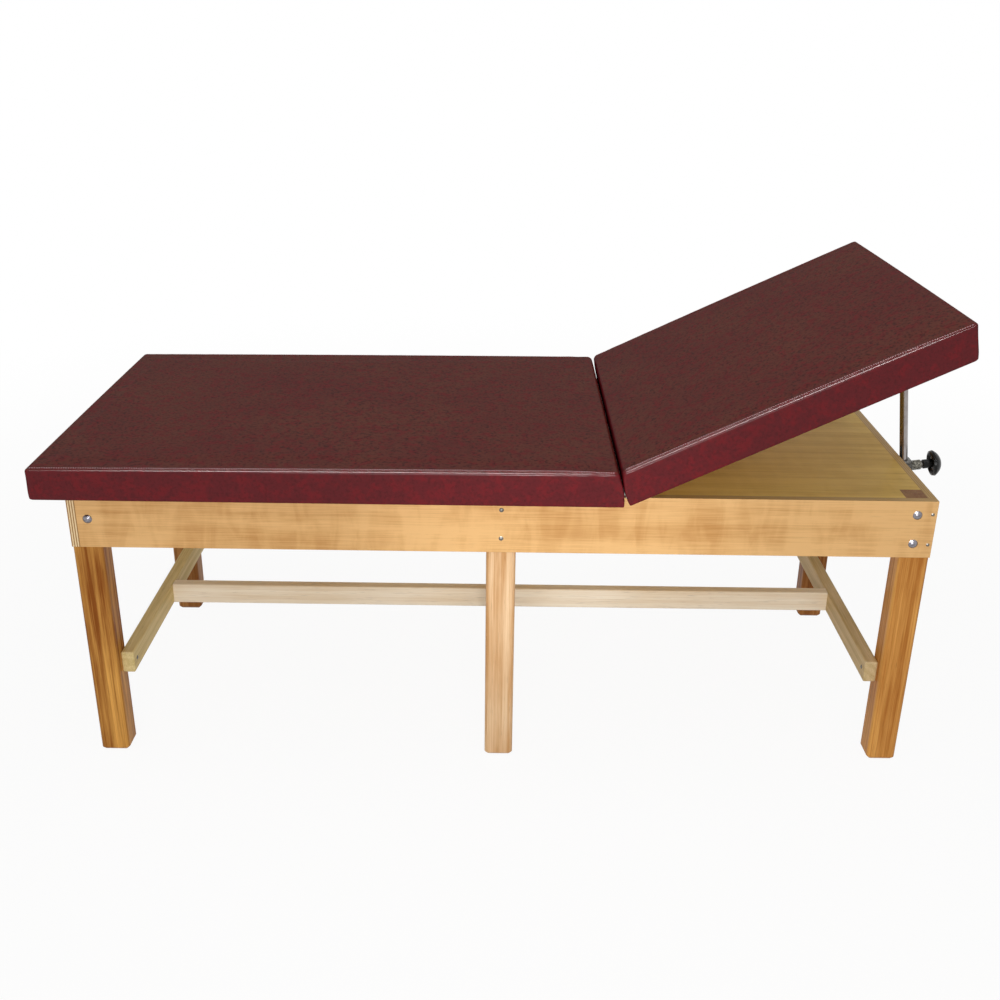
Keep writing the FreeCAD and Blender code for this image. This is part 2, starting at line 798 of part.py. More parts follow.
def free_end(length, slope, level):
    """Reach of a pad's sloped free end at a level, from its full length at the top edge."""
    return "%s - (pad_edge - (%s)) * tan(%s * 1deg)" % (length, level, slope)


def pad_form(name, length, slope, inset, bottom=None):
    """Cushion form: sides drawn in at top and bottom, sloped ends and a crowned top."""
    body = new_body(name + "_sides")
    peak = "(pad_edge + pad_crown)"
    levels = [
        ("0", "shoulder_draw"),
        ("belly_share * foam_thickness", "0"),
        ("shoulder_share * foam_thickness", "shoulder_draw"),
        (peak + " + overcut", "side_draw"),
    ]
    if bottom:
        levels.insert(0, (bottom, "side_draw"))
    sections = []
    for index, (level, draw) in enumerate(levels):
        section = sketch_on(body, "%s_level_%d" % (name, index + 1), "XY_Plane", level)
        lean = "max(%s; 0) * tan(crease_angle * 1deg)" % level
        half = "(pad_half_width - (%s) - %s)" % (inset, draw)
        end = "%s - (%s) - %s" % (free_end(length, slope, level), inset, draw)
        start = "break_gap + (%s) + %s" % (inset, lean)
        rounded(section, start, end, "-" + half, half, "break_corner_radius", "pad_corner_radius")
        sections.append(section)
    lofted(body, sections)
    # A wide ball gives the crown; its centre hangs far below the middle of the pad.
    ball = doc.addObject("Part::Sphere", name + "_crown")
    radius = "((%s / 2) ^ 2 + pad_half_width ^ 2) / (2 * pad_crown)" % length
    ball.setExpression("Radius", bound("%s - (%s)" % (radius, inset)))
    place(ball, "%s / 2" % length, "0", "%s - %s" % (peak, radius), (Vector(1, 0, 0), "90"))
    form = doc.addObject("Part::Common", name)
    form.Base = body
    form.Tool = ball
    return form


def hinge_channel(name):
    """Room for the hinge knuckles at the break."""
    channel = doc.addObject("Part::Cylinder", name)
    channel.setExpression("Radius", bound("knuckle_radius + channel_clearance"))
    channel.setExpression("Height", bound("hinge_length + 2 * knuckle_gap"))
    place(channel, "0", "hinge_length / 2 + knuckle_gap", "0", (Vector(1, 0, 0), "90"))
    return channel


def hinge_screw_places():
    places = []
    for index in range(int(number("knuckle_count"))):
        across = "-hinge_length / 2 + hinge_screw_inset + %d * hinge_screw_step" % index
        places.append(("leaf_gap", across, "-leaf_mid", OUT_FOOT))
    return places


def hinge_screw(name, clearance):
    """Countersunk screw, flush in the leaf, or with a clearance the hole that takes it."""
    head = "hinge_screw_head / 2 + %s" % clearance
    shank = "hinge_screw_diameter / 2 + %s" % clearance
    end = "-(hinge_screw_length + %s)" % clearance
    return turned(name, [("0", end), (shank, end), (shank, "-leaf_thickness"), (head, "0"), ("0", "0")])


def hinge_leaf(name):
    """Leaf with every other knuckle; two equal leaves turned to face each other make the hinge."""
    body = new_body(name)
    plate = sketch_on(body, name + "_plate", "XZ_Plane")
    rectangle(plate, "leaf_gap", "break_gap", "-leaf_height", "-leaf_top")
    pad(plate, "hinge_length", "Symmetric")
    first = "(hinge_length - knuckle_step) / 2"
    barrel = sketch_on(body, name + "_barrel", "XZ_Plane", first)
    round_hole(barrel, "0", "0", "knuckle_radius")
    barrel_pad = pad(barrel, "knuckle_step - knuckle_gap", "Symmetric")
    neck = sketch_on(body, name + "_neck", "XZ_Plane", first)
    rectangle(neck, "leaf_gap", "break_gap", "-leaf_top - leaf_thickness", "0")
    neck_pad = pad(neck, "knuckle_step - knuckle_gap", "Symmetric")
    doc.recompute()
    knuckles = body.newObject("PartDesign::LinearPattern", name + "_knuckles")
    knuckles.Originals = [barrel_pad, neck_pad]
    axis = next(item for item in body.Origin.OriginFeatures if item.Role == "Y_Axis")
    knuckles.Direction = (axis, [""])
    knuckles.setExpression("Occurrences", bound("knuckle_count"))
    knuckles.setExpression("Length", bound("(knuckle_count - 1) * 2 * knuckle_step"))
    body.Tip = knuckles
    bore = sketch_on(body, name + "_bore", "XZ_Plane")
    round_hole(bore, "0", "0", "pin_diameter / 2 + running_clearance")
    pocket(bore)
    return body


def upholstered(side, length, slope, board, to_frame, board_holes):
    """One pad: a ply board, foam on it, a vinyl cover drawn over both and its hinge leaf with screws."""
    under = "-%s" % board
    channel = hinge_channel(side + "_channel")
    screw_places = hinge_screw_places()
    screw = hinge_screw(side + "_hinge_screw", "0")
    bit = hinge_screw(side + "_hinge_bit", "hole_clearance")
    screw_set = copies(side + "_hinge_screw_set", screw, screw_places)
    screw_holes = copies(side + "_hinge_holes", bit, screw_places)

    ply = new_body(side + "_ply")
    margin = "(cover_thickness + cover_fit)"
    half = "(pad_half_width - side_draw - %s)" % margin
    start = "break_gap + " + margin
    faces = []
    for name, level in (("under", under), ("top", "0")):
        face = sketch_on(ply, "%s_ply_%s" % (side, name), "XY_Plane", level)
        end = "%s - side_draw - %s" % (free_end(length, slope, level), margin)
        rounded(face, start, end, "-" + half, half, "break_corner_radius", "pad_corner_radius")
        faces.append(face)
    lofted(ply, faces)
    drilled = cut(side + "_board_drilled", cut(side + "_board_cut", ply, channel), screw_holes)
    if board_holes:
        drilled = cut(side + "_board_finished", drilled, board_holes)
    to_frame(drilled)

    filling = pad_form(side + "_foam_form", length, slope, "cover_thickness + cover_fit")
    foam = cut(side + "_foam_cut", filling, channel)

    skin = pad_form(side + "_cover_form", length, slope, "0", "%s - cover_thickness" % under)
    hollow = pad_form(side + "_cover_inside", length, slope, "cover_thickness", under)
    shell = cut(side + "_cover_shell", skin, hollow)
    # The cover ends round the frame; its window runs half a cover's thickness past both of its faces.
    inner_reach = "half_length - hinge_x" if side == "back" else "half_length + hinge_x"
    window_size = (
        inner_reach + " + 2 * return_clearance",
        "frame_width + 2 * return_clearance",
        "2 * cover_thickness",
    )
    window_corner = (
        "-return_clearance",
        "-half_width - return_clearance",
        "%s - 1.5 * cover_thickness" % under,
    )
    window = block(side + "_return_window", window_size, window_corner)
    opened = cut(side + "_cover_opened", shell, window)
    freed = cut(side + "_cover_freed", opened, channel)
    cover = cut(side + "_cover_cut", freed, screw_holes)
    if board_holes:
        cover = cut(side + "_cover_finished", cover, board_holes)

    leaf = cut(side + "_leaf_cut", hinge_leaf(side + "_leaf"), screw_holes)
    for item in (foam, cover, leaf, screw_set):
        to_frame(item)
    node(foam, side + "_foam")
    node(cover, side + "_cover")
    node(leaf, "hinge_leaf_" + side)
    node(screw_set, "hinge_screws_" + side)
    return drilled


# Lifting rod, in the frame of the back pad or of the rod

PIVOT_Z = "-pivot_depth"
BRACKET_TOP = "-(back_board_thickness + cover_thickness)"
bracket_spots = []
for along in ("-(bracket_length / 2 - plate_screw_inset)", "bracket_length / 2 - plate_screw_inset"):
    for across in ("-(bracket_width / 2 - plate_screw_inset)", "bracket_width / 2 - plate_screw_inset"):
        bracket_spots.append(("bracket_mid + " + along, across))


def cheek(body, name, height, corners):
    """Upright cheek of a bracket, of equal thickness about its own middle plane."""
    sketch = sketch_on(body, name, "XZ_Plane", height)
    outline(sketch, corners)
    return sketch


def rod_bracket():
    """Steel bracket under the back board: a plate with two cheeks that take the pivot pin."""
    body = new_body("rod_bracket")
    plate = sketch_on(body, "rod_bracket_plate", "XY_Plane", BRACKET_TOP)
    half = "bracket_length / 2"
    wide = "bracket_width / 2"
    corner = "plate_corner_radius"
    rounded(plate, "bracket_mid - " + half, "bracket_mid + " + half, "-" + wide, wide, corner, corner)
    for x, y in bracket_spots:
        round_hole(plate, x, y, "plate_screw_diameter / 2 + hole_clearance")
    pad(plate, "bracket_thickness", reverse=True)
    low = "pivot_reach - cheek_radius"
    high = "pivot_reach + cheek_radius"
    corners = [
        (low, BRACKET_TOP + " - bracket_thickness / 2"),
        (low, PIVOT_Z, "cheek_radius", 1),
        ("pivot_reach", PIVOT_Z + " - cheek_radius", "cheek_radius", 1),
        (high, PIVOT_Z),
        (high, BRACKET_TOP + " - bracket_thickness / 2"),
    ]
    for name, sign in (("front", ""), ("back", "-")):
        height = "%s(cheek_inside + cheek_thickness / 2)" % sign
        pad(cheek(body, "rod_cheek_" + name, height, corners), "cheek_thickness", "Symmetric")
    hole = sketch_on(body, "rod_bracket_hole", "XZ_Plane")
    round_hole(hole, "pivot_reach", PIVOT_Z, "pivot_pin_diameter / 2 + running_clearance")
    pocket(hole)
    in_back_frame(body)
    node(body, "rod_bracket")


def rod_bracket_screws():
    """Screws of the rod bracket, and the holes that they need in the cover and the back board."""
    seat = BRACKET_TOP + " - bracket_thickness"
    places = [(x, y, seat, OUT_DOWN) for x, y in bracket_spots]
    screw = pan_screw("bracket_screw", "plate_screw_head", "plate_screw_diameter", "plate_screw_length")
    screw_set = copies("bracket_screw_set", screw, places)
    in_back_frame(screw_set)
    node(screw_set, "rod_bracket_screws")
    bit = drill("bracket_drill", "plate_screw_diameter / 2", "plate_screw_length")
    return copies("bracket_holes", bit, places)


def rod_pivot_pin():
    end = "-(2 * (cheek_inside + cheek_thickness) + pivot_pin_head_height)"
    shank = "pivot_pin_diameter / 2"
    pin = turned(
        "pivot_pin",
        [
            ("0", end),
            (shank + " - pivot_pin_chamfer", end),
            (shank, end + " + pivot_pin_chamfer"),
            (shank, "0"),
            ("pivot_pin_head / 2", "0"),
            ("pivot_pin_head / 2", "pivot_pin_head_height"),
            ("0", "pivot_pin_head_height"),
        ],
    )
    seat = "-(cheek_inside + cheek_thickness)"
    pivot = copies("pivot_pin_set", pin, [("pivot_reach", seat, PIVOT_Z, OUT_FRONT)])
    in_back_frame(pivot)
    node(pivot, "rod_pivot_pin")


def support_rod():
    top = "rod_span + rod_top"
    edge = "rod_radius - rod_chamfer"
    rod = turned(
        "rod",
        [
            ("0", "rod_end"),
            (edge, "rod_end"),
            ("rod_radius", "rod_end + rod_chamfer"),
            ("rod_radius", top + " - rod_chamfer"),
            (edge, top),
            ("0", top),
        ],
    )
    eye = sketch_on(rod, "rod_eye", "XZ_Plane")
    round_hole(eye, "0", "rod_span", "pivot_pin_diameter / 2 + running_clearance")
    pocket(eye)
    in_rod_frame(rod)
    node(rod, "support_rod")

    low = "rod_end + stop_inset"
    high = low + " + stop_height"
    bore = "rod_radius + running_clearance"
    stop = turned(
        "stop",
        [(bore, low), ("stop_diameter / 2", low), ("stop_diameter / 2", high), (bore, high)],
    )
    in_rod_frame(stop)
    node(stop, "rod_end_stop")


# Swivel clamp


def clamp_bracket():
    """Plate on the head end rail with two ears that carry the clamp between them."""
    body = new_body("clamp_bracket")
    plate = sketch_on(body, "clamp_plate", "YZ_Plane")
    wide = "plate_width / 2"
    tall = "plate_height / 2"
    corner = "plate_corner_radius"
    rounded(plate, "-" + wide, wide, "clamp_z - " + tall, "clamp_z + " + tall, corner, corner)
    for x, y, z, turn in clamp_places:
        round_hole(plate, y, z, "plate_screw_diameter / 2 + hole_clearance")
    pad(plate, "plate_thickness")
    corners = [
        ("plate_thickness / 2", "clamp_z - ear_radius"),
        ("clamp_stand_off", "clamp_z - ear_radius", "ear_radius", 1),
        ("clamp_stand_off + ear_radius", "clamp_z", "ear_radius", 1),
        ("clamp_stand_off", "clamp_z + ear_radius"),
        ("plate_thickness / 2", "clamp_z + ear_radius"),
    ]
    for name, sign in (("front", ""), ("back", "-")):
        height = "%s(ear_inside + ear_thickness / 2)" % sign
        pad(cheek(body, "clamp_ear_" + name, height, corners), "ear_thickness", "Symmetric")
    hole = sketch_on(body, "clamp_ear_hole", "XZ_Plane")
    round_hole(hole, "clamp_stand_off", "clamp_z", "swivel_pin_diameter / 2 + running_clearance")
    pocket(hole)
    place(body, HEAD_X)
    node(body, "clamp_bracket")


def clamp_block():
    """Block that the rod slides in, with a boss for the clamp screw and holes for its swivel pins."""
    body = new_body("clamp_block")
    section = sketch_on(body, "clamp_section", "XY_Plane")
    half = "block_size / 2"
    radius = "block_edge_radius"
    rounded(section, "-" + half, half, "-" + half, half, radius, radius)
    blank = pad(section, "block_height", "Symmetric")
    top = number("block_height / 2")
    ends = edges_where(blank, lambda point: abs(point.z) > top - SAME_PLACE)
    ends = [name for name in ends if name not in long_edges(blank, Vector(0, 0, 1))]
    chamfer(blank, ends, "block_chamfer")
    boss = sketch_on(body, "clamp_boss", "YZ_Plane")
    round_hole(boss, "0", "0", "boss_diameter / 2")
    pad(boss, "boss_reach")
    bore = sketch_on(body, "clamp_bore", "XY_Plane")
    round_hole(bore, "0", "0", "rod_radius + bore_clearance")
    pocket(bore)
    passage = sketch_on(body, "clamp_passage", "YZ_Plane", "boss_reach / 2 + rod_radius / 2")
    round_hole(passage, "0", "0", "screw_diameter / 2 + screw_clearance")
    pocket(passage, "boss_reach - rod_radius + 2 * overcut")
    pins = sketch_on(body, "clamp_pin_holes", "XZ_Plane")
    round_hole(pins, "0", "0", "swivel_pin_diameter / 2 + hole_clearance")
    pocket(pins)
    in_rod_frame(body)
    node(body, "clamp_block")


def clamp_pivot_pins():
    end = "-(swivel_pin_gap + ear_thickness + side_clearance + swivel_pin_depth)"
    pin = turned(
        "swivel_pin",
        [
            ("0", end),
            ("swivel_pin_diameter / 2", end),
            ("swivel_pin_diameter / 2", "0"),
            ("swivel_pin_head / 2", "0"),
            ("swivel_pin_head / 2", "swivel_pin_head_height"),
            ("0", "swivel_pin_head_height"),
        ],
    )
    seat = "(ear_outside + swivel_pin_gap)"
    places = [("0", "-" + seat, "0", OUT_FRONT), ("0", seat, "0", OUT_BACK)]
    pins = copies("swivel_pin_set", pin, places)
    in_rod_frame(pins)
    node(pins, "clamp_pivot_pins")


def clamp_screw():
    """Clamp screw with the pressure pad that turns freely on its spigot."""
    spigot = "spigot_diameter / 2"
    socket = spigot + " + running_clearance"
    floor = "tip_end - spigot_length"
    outer = "screw_diameter / 2"
    tip = turned(
        "tip",
        [
            ("0", "tip_start"),
            (outer, "tip_start"),
            (outer, "tip_end"),
            (socket, "tip_end"),
            (socket, floor),
            ("0", floor),
        ],
    )
    in_screw_frame(tip)
    node(tip, "clamp_pad")

    shoulder = "tip_end + running_clearance"
    end = "knob_start + knob_socket - running_clearance"
    screw = turned(
        "screw",
        [
            ("0", floor + " + running_clearance"),
            (spigot, floor + " + running_clearance"),
            (spigot, shoulder),
            (outer, shoulder),
            (outer, end),
            ("0", end),
        ],
    )
    in_screw_frame(screw)
    node(screw, "clamp_screw")


def clamp_knob():
    """Mushroom knob: a hub on the screw and a domed head with its rim turned back."""
    hub = "hub_diameter / 2"
    rim = "knob_diameter / 2"
    socket = "screw_diameter / 2 + running_clearance"
    front = "(knob_end - head_dome)"
    dome = "((%s) ^ 2 + head_dome ^ 2) / (2 * head_dome)" % rim
    back = "(head_start - rim_back)"
    knob = turned(
        "knob",
        [
            ("0", "knob_start + knob_socket"),
            (socket, "knob_start + knob_socket"),
            (socket, "knob_start"),
            (hub + " - hub_chamfer", "knob_start"),
            (hub, "knob_start + hub_chamfer"),
            (hub, "head_start"),
            ("(%s + %s) / 2" % (hub, rim), "head_start + rim_back"),
            (rim + " - rim_width", back),
            (rim + " - rim_width / 4", back + " + rim_width / 4"),
            (rim, front, dome, 1),
            ("0", "knob_end"),
        ],
    )
    in_screw_frame(knob)
    node(knob, "clamp_knob")


def hinge_pin():
    pin = doc.addObject("Part::Cylinder", "hinge_pin_rod")
    pin.setExpression("Radius", bound("pin_diameter / 2"))
    pin.setExpression("Height", bound("hinge_length"))
    place(pin, "frame_middle + hinge_x", "hinge_length / 2", "hinge_z", (Vector(1, 0, 0), "90"))
    node(pin, "hinge_pin")


rails()
legs()
stretchers()
deck()
seat_board = upholstered("seat", "seat_length", "foot_end_slope", "board_thickness", in_seat_frame, None)
node(cut("seat_board_fixed", seat_board, seat_holes), "seat_board")
back_size = ("back_length", "head_end_slope", "back_board_thickness")
back_board = upholstered("back", *back_size, in_back_frame, rod_bracket_screws())
node(back_board, "back_board")
hinge_pin()
rod_bracket()
rod_pivot_pin()
support_rod()
clamp_bracket()
clamp_block()
clamp_pivot_pins()
clamp_screw()
clamp_knob()
doc.recompute()

for item in doc.Objects:
    if "Invalid" in item.State or "Error" in item.State:
        raise RuntimeError("%s failed: %s" % (item.Name, item.State))
for item in nodes:
    if item.Shape.isNull() or not item.Shape.isValid() or not item.Shape.Solids:
        raise RuntimeError("%s has no valid solid" % item.Label)

os.makedirs("parts", exist_ok=True)
for item in nodes:
    item.Shape.exportStep("parts/%s.step" % item.Label)
    print("%-22s solids %2d  volume %.1f" % (item.Label, len(item.Shape.Solids), item.Shape.Volume))
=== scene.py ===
# %% [markdown]
# # Dressing a treatment table
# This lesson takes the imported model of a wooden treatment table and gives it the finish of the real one:
# honey-coloured ply, mixed hardwood legs, burgundy vinyl over foam and a few bright metal fittings.
# The rigid pieces keep the solids that they were designed with and only get a finish. The two pads are
# modelled again here, because a cover pulled over foam is the one thing that a plain solid can't show.

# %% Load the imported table
import json
import math
import time

import bpy
import numpy as np
from mathutils import Matrix, Vector


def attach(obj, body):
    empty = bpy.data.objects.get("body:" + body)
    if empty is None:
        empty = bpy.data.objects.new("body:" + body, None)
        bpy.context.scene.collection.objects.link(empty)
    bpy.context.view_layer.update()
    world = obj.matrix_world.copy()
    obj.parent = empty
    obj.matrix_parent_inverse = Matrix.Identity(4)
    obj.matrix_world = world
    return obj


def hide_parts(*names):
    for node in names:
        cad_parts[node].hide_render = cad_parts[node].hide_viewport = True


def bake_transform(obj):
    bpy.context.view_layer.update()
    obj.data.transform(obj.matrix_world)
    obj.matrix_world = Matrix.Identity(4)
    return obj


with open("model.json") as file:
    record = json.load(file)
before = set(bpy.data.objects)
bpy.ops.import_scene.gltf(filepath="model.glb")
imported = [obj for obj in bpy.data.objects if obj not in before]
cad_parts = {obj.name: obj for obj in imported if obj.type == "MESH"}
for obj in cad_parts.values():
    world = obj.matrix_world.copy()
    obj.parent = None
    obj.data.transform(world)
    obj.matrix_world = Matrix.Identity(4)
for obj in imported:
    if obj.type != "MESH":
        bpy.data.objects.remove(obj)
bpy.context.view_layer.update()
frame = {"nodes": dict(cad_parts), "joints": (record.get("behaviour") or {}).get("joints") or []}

scene = bpy.context.scene
print("packed pieces:", len(frame["nodes"]))

# %% [markdown]
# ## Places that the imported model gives
# Both pads turn about one hinge line, so that line is the natural origin for them. Each pad gets three
# directions of its own: along its board away from the hinge, across it, and up from it. A point is then
# easy to describe on the pad, and a turn into the table's frame is one matrix product.

# %% Name the hinge, the clamp and the pads' directions
MM = 0.001
joints = {joint["name"]: joint for joint in frame["joints"]}
hinge_point = np.array(joints["back_hinge"]["pos_m"])
clamp_point = np.array(joints["clamp_swivel"]["pos_m"])
screw_direction = np.array(joints["knob_turn"]["axis"])
back_angle = math.radians(-joints["back_hinge"]["range_deg"][0])
ALONG_BACK = np.array([math.cos(back_angle), 0, math.sin(back_angle)])
UP_FROM_BACK = np.array([-math.sin(back_angle), 0, math.cos(back_angle)])
PAD_DIRECTIONS = {
    "seat": np.array([[-1, 0, 0], [0, -1, 0], [0, 0, 1]], float),
    "back": np.array([ALONG_BACK, [0, 1, 0], UP_FROM_BACK]),
}


def node_points(name):
    """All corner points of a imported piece, as rows of x, y and z in metres."""
    mesh = frame["nodes"][name].data
    points = np.empty(len(mesh.vertices) * 3, np.float32)
    mesh.vertices.foreach_get("co", points)
    return points.reshape(-1, 3).astype(float)


def on_pad(points, side):
    """Table frame to pad frame: the part of each point along each of the pad's directions."""
    return (points - hinge_point) @ PAD_DIRECTIONS[side].T


def on_table(points, side):
    """Pad frame to table frame: so much along each direction, from the hinge."""
    return hinge_point + points @ PAD_DIRECTIONS[side]


print("hinge", hinge_point, "back raised by", round(math.degrees(back_angle), 2), "degrees")

# %% [markdown]
# ## Camera
# The photograph was taken from the front, a little above the table and almost level. The camera's place,
# its downward look and its slight roll were worked out from the edges of the frame in the picture, so no
# lens shift is needed.

# %% Set up the camera
CAMERA_PLACE = (-0.0459, -2.5946, 1.5863)
LOOK_DOWN = 0.403
CAMERA_ROLL = 0.013
FOCAL_LENGTH_PER_WIDTH = 1.1552
SENSOR_WIDTH = 36

camera_lens = bpy.data.cameras.new("camera")
camera_lens.sensor_width = SENSOR_WIDTH
camera_lens.lens = FOCAL_LENGTH_PER_WIDTH * SENSOR_WIDTH
camera = bpy.data.objects.new("camera", camera_lens)
scene.collection.objects.link(camera)
camera.matrix_world = (
    Matrix.Translation(CAMERA_PLACE)
    @ Matrix.Rotation(math.pi / 2 - LOOK_DOWN, 4, "X")
    @ Matrix.Rotation(CAMERA_ROLL, 4, "Z")
)
scene.camera = camera
scene.view_settings.view_transform = "Standard"
print("lens", round(camera_lens.lens, 2), "mm")

# %% [markdown]
# ## Small helpers for shader nodes
# A procedural finish is a little network of nodes, and placing, setting and wiring them is the same few
# lines each time. Colours are written as they look on a screen, from 0 to 255, and turned into the linear
# values that the renderer needs.

# %% Helpers that place and wire nodes


def paint(red, green, blue):
    """Screen colour to linear colour: the usual curve, straight near black and a power above it."""
    shares = np.array([red, green, blue]) / 255
    linear = np.where(shares <= 0.04045, shares / 12.92, ((shares + 0.055) / 1.055) ** 2.4)
    return (*linear.tolist(), 1.0)


def fill(tree, node, sockets):
    """Set or wire each named input of a node."""
    for name, value in sockets.items():
        if isinstance(value, bpy.types.NodeSocket):
            tree.links.new(value, node.inputs[name])
        else:
            node.inputs[name].default_value = value


def add(tree, kind, sockets=None, **settings):
    """Place a node, give it its settings and fill its inputs."""
    node = tree.nodes.new("ShaderNode" + kind)
    for name, value in settings.items():
        setattr(node, name, value)
    fill(tree, node, sockets or {})
    return node


def reckon(tree, operation, first, second=0.0):
    """One sum of two numbers."""
    return add(tree, "Math", {0: first, 1: second}, operation=operation).outputs[0]


def ease(tree, value, low, high, start=0.0, stop=1.0):
    """A smooth step: start below low, stop above high, an S-curve between them."""
    sockets = {"Value": value, "From Min": low, "From Max": high, "To Min": start, "To Max": stop}
    return add(tree, "MapRange", sockets, interpolation_type="SMOOTHSTEP").outputs["Result"]


def tint(tree, share, first, second):
    """Mix of two colours by a share."""
    return add(tree, "Mix", {0: share, 6: first, 7: second}, data_type="RGBA").outputs[2]


def stretch(tree, vector, scale, location=(0, 0, 0)):
    """Vector scaled by a factor on each axis and then moved."""
    return add(tree, "Mapping", {"Vector": vector, "Scale": scale, "Location": location}).outputs[0]


def cloud(tree, vector, scale, detail=2.0, roughness=0.5, distortion=0.0):
    """Soft noise from 0 to 1."""
    sockets = {"Vector": vector, "Scale": scale, "Detail": detail}
    sockets.update({"Roughness": roughness, "Distortion": distortion})
    return add(tree, "TexNoise", sockets).outputs["Fac"]


def new_group(name, inputs, outputs):
    """An empty node group with named inputs (socket kind, value) and named outputs."""
    tree = bpy.data.node_groups.new(name, "ShaderNodeTree")
    for socket, (kind, value) in inputs.items():
        entry = tree.interface.new_socket(name=socket, in_out="INPUT", socket_type="NodeSocket" + kind)
        if value is not None:
            entry.default_value = value
    for socket in outputs:
        tree.interface.new_socket(name=socket, in_out="OUTPUT", socket_type="NodeSocketFloat")
    given = tree.nodes.new("NodeGroupInput").outputs
    results = tree.nodes.new("NodeGroupOutput").inputs

    def give(name, socket):
        """Wire a result to the output of that name."""
        tree.links.new(socket, results[name])

    return tree, given, give


def new_finish(name):
    """A material with one Principled shader, and the place and the direction of each surface point."""
    material = bpy.data.materials.new(name)
    material.use_nodes = True
    tree = material.node_tree
    shader = tree.nodes["Principled BSDF"]
    surface = tree.nodes.new("ShaderNodeTexCoord")
    return material, tree, shader, surface.outputs["Object"], surface.outputs["Normal"]


def seen_share(tree):
    """1 for what the camera sees straight on, through glass or in a mirror, and 0 for light."""
    rays = add(tree, "LightPath").outputs
    seen = reckon(tree, "MAXIMUM", rays["Is Camera Ray"], rays["Is Transmission Ray"])
    return reckon(tree, "MAXIMUM", seen, rays["Is Glossy Ray"])


print("helpers ready")

# %% [markdown]
# ## Studio
# The table stands on a pale floor in a white studio. The main light is a wide lamp by the camera, low enough
# that the overhanging pads throw no shadow on the rails. A weak ceiling lamp lights the tops. A third lamp is
# only there to be mirrored: it draws the bright line along the rolled edge of the pads and lights nothing
# else. A narrow flash makes the brighter patch at the middle of the front. The backdrop and the floor are
# white to the camera and in mirrors, through the Light Path node, and light the table only softly.

# %% Lamps
CEILING_POWER = 15
CAMERA_SIDE_POWER = 41
GLEAM_POWER = 260
FLASH_POWER = 45
FLASH_ANGLE = math.radians(27)


def place_lamp(lamp, place, aim):
    """Lamp object at a place, turned to face a point and hidden from the camera."""
    item = bpy.data.objects.new(lamp.name, lamp)
    scene.collection.objects.link(item)
    item.location = place
    item.rotation_mode = "QUATERNION"
    item.rotation_quaternion = (Vector(aim) - Vector(place)).to_track_quat("-Z", "Y")
    item.visible_camera = False
    return item


def soft_lamp(name, place, aim, width, depth, power):
    """Rectangular lamp."""
    lamp = bpy.data.lights.new(name, "AREA")
    lamp.shape = "RECTANGLE"
    lamp.size = width
    lamp.size_y = depth
    lamp.energy = power
    return place_lamp(lamp, place, aim)


soft_lamp("ceiling_lamp", (0.1, -0.5, 3.1), (0, 0.1, 0.6), 3.0, 1.6, CEILING_POWER)
soft_lamp("camera_side_lamp", (-0.1, -3.3, 1.15), (0, 0, 0.55), 1.8, 1.2, CAMERA_SIDE_POWER)
gleam_lamp = soft_lamp("gleam_lamp", (-0.5, -2.0, 2.9), (-0.1, -0.4, 0.75), 2.6, 0.6, GLEAM_POWER)
gleam_lamp.visible_diffuse = False
flash = bpy.data.lights.new("flash", "SPOT")
flash.energy = FLASH_POWER
flash.spot_size = FLASH_ANGLE
flash.spot_blend = 1.0
flash.shadow_soft_size = 0.05
place_lamp(flash, (0.05, -2.45, 0.72), (0.08, -0.4, 0.58))
print("lamps:", len(bpy.data.lights))

# %% World
WORLD_STRENGTH = 0.42

world = bpy.data.worlds.new("studio")
scene.world = world
world.use_nodes = True
sky = world.node_tree
sky.nodes.clear()
lit = add(sky, "Background", {"Color": (1.0, 0.985, 0.96, 1), "Strength": WORLD_STRENGTH}).outputs[0]
white = add(sky, "Background", {"Color": (1, 1, 1, 1), "Strength": 1.0}).outputs[0]
shown = add(sky, "MixShader", {0: seen_share(sky), 1: lit, 2: white}).outputs[0]
add(sky, "OutputWorld", {"Surface": shown})
print("world nodes:", len(sky.nodes))

# %% Floor
FLOOR_SIZE = 60
WHITE_NEAR, WHITE_FAR = 0.93, 1.0
NEAR_RADIUS, FAR_RADIUS = 1.2, 4.0

floor_finish = bpy.data.materials.new("floor")
floor_finish.use_nodes = True
tree = floor_finish.node_tree
tree.nodes.clear()
floor_place = add(tree, "TexCoord").outputs["Object"]
from_middle = add(tree, "VectorMath", {0: floor_place}, operation="LENGTH").outputs["Value"]
white_share = ease(tree, from_middle, NEAR_RADIUS, FAR_RADIUS, WHITE_NEAR, WHITE_FAR)
seen_white = reckon(tree, "MULTIPLY", seen_share(tree), white_share)
matt = add(tree, "BsdfDiffuse", {"Color": (0.9, 0.9, 0.9, 1)}).outputs[0]
glow = add(tree, "Emission", {"Color": (1, 1, 1, 1), "Strength": 1.0}).outputs[0]
shown = add(tree, "MixShader", {0: seen_white, 1: matt, 2: glow}).outputs[0]
add(tree, "OutputMaterial", {"Surface": shown})

half_floor = FLOOR_SIZE / 2
floor_mesh = bpy.data.meshes.new("floor")
floor_corners = [(x * half_floor, y * half_floor, -0.5 * MM) for x, y in ((-1, -1), (1, -1), (1, 1), (-1, 1))]
floor_mesh.from_pydata(floor_corners, [], [(0, 1, 2, 3)])
floor_mesh.materials.append(floor_finish)
floor = bpy.data.objects.new("floor", floor_mesh)
scene.collection.objects.link(floor)
print("floor:", FLOOR_SIZE, "m")

# %% [markdown]
# ## Wood
# Wood is rings cut at an angle, stretched a long way along the grain. One node group works the rings, the
# fine fibres, the pores and the slow cloudy tone out of a point's place, with the grain along its X axis.
# Each piece then turns its own grain direction onto that axis, so a leg, a rail and a stretcher share it.

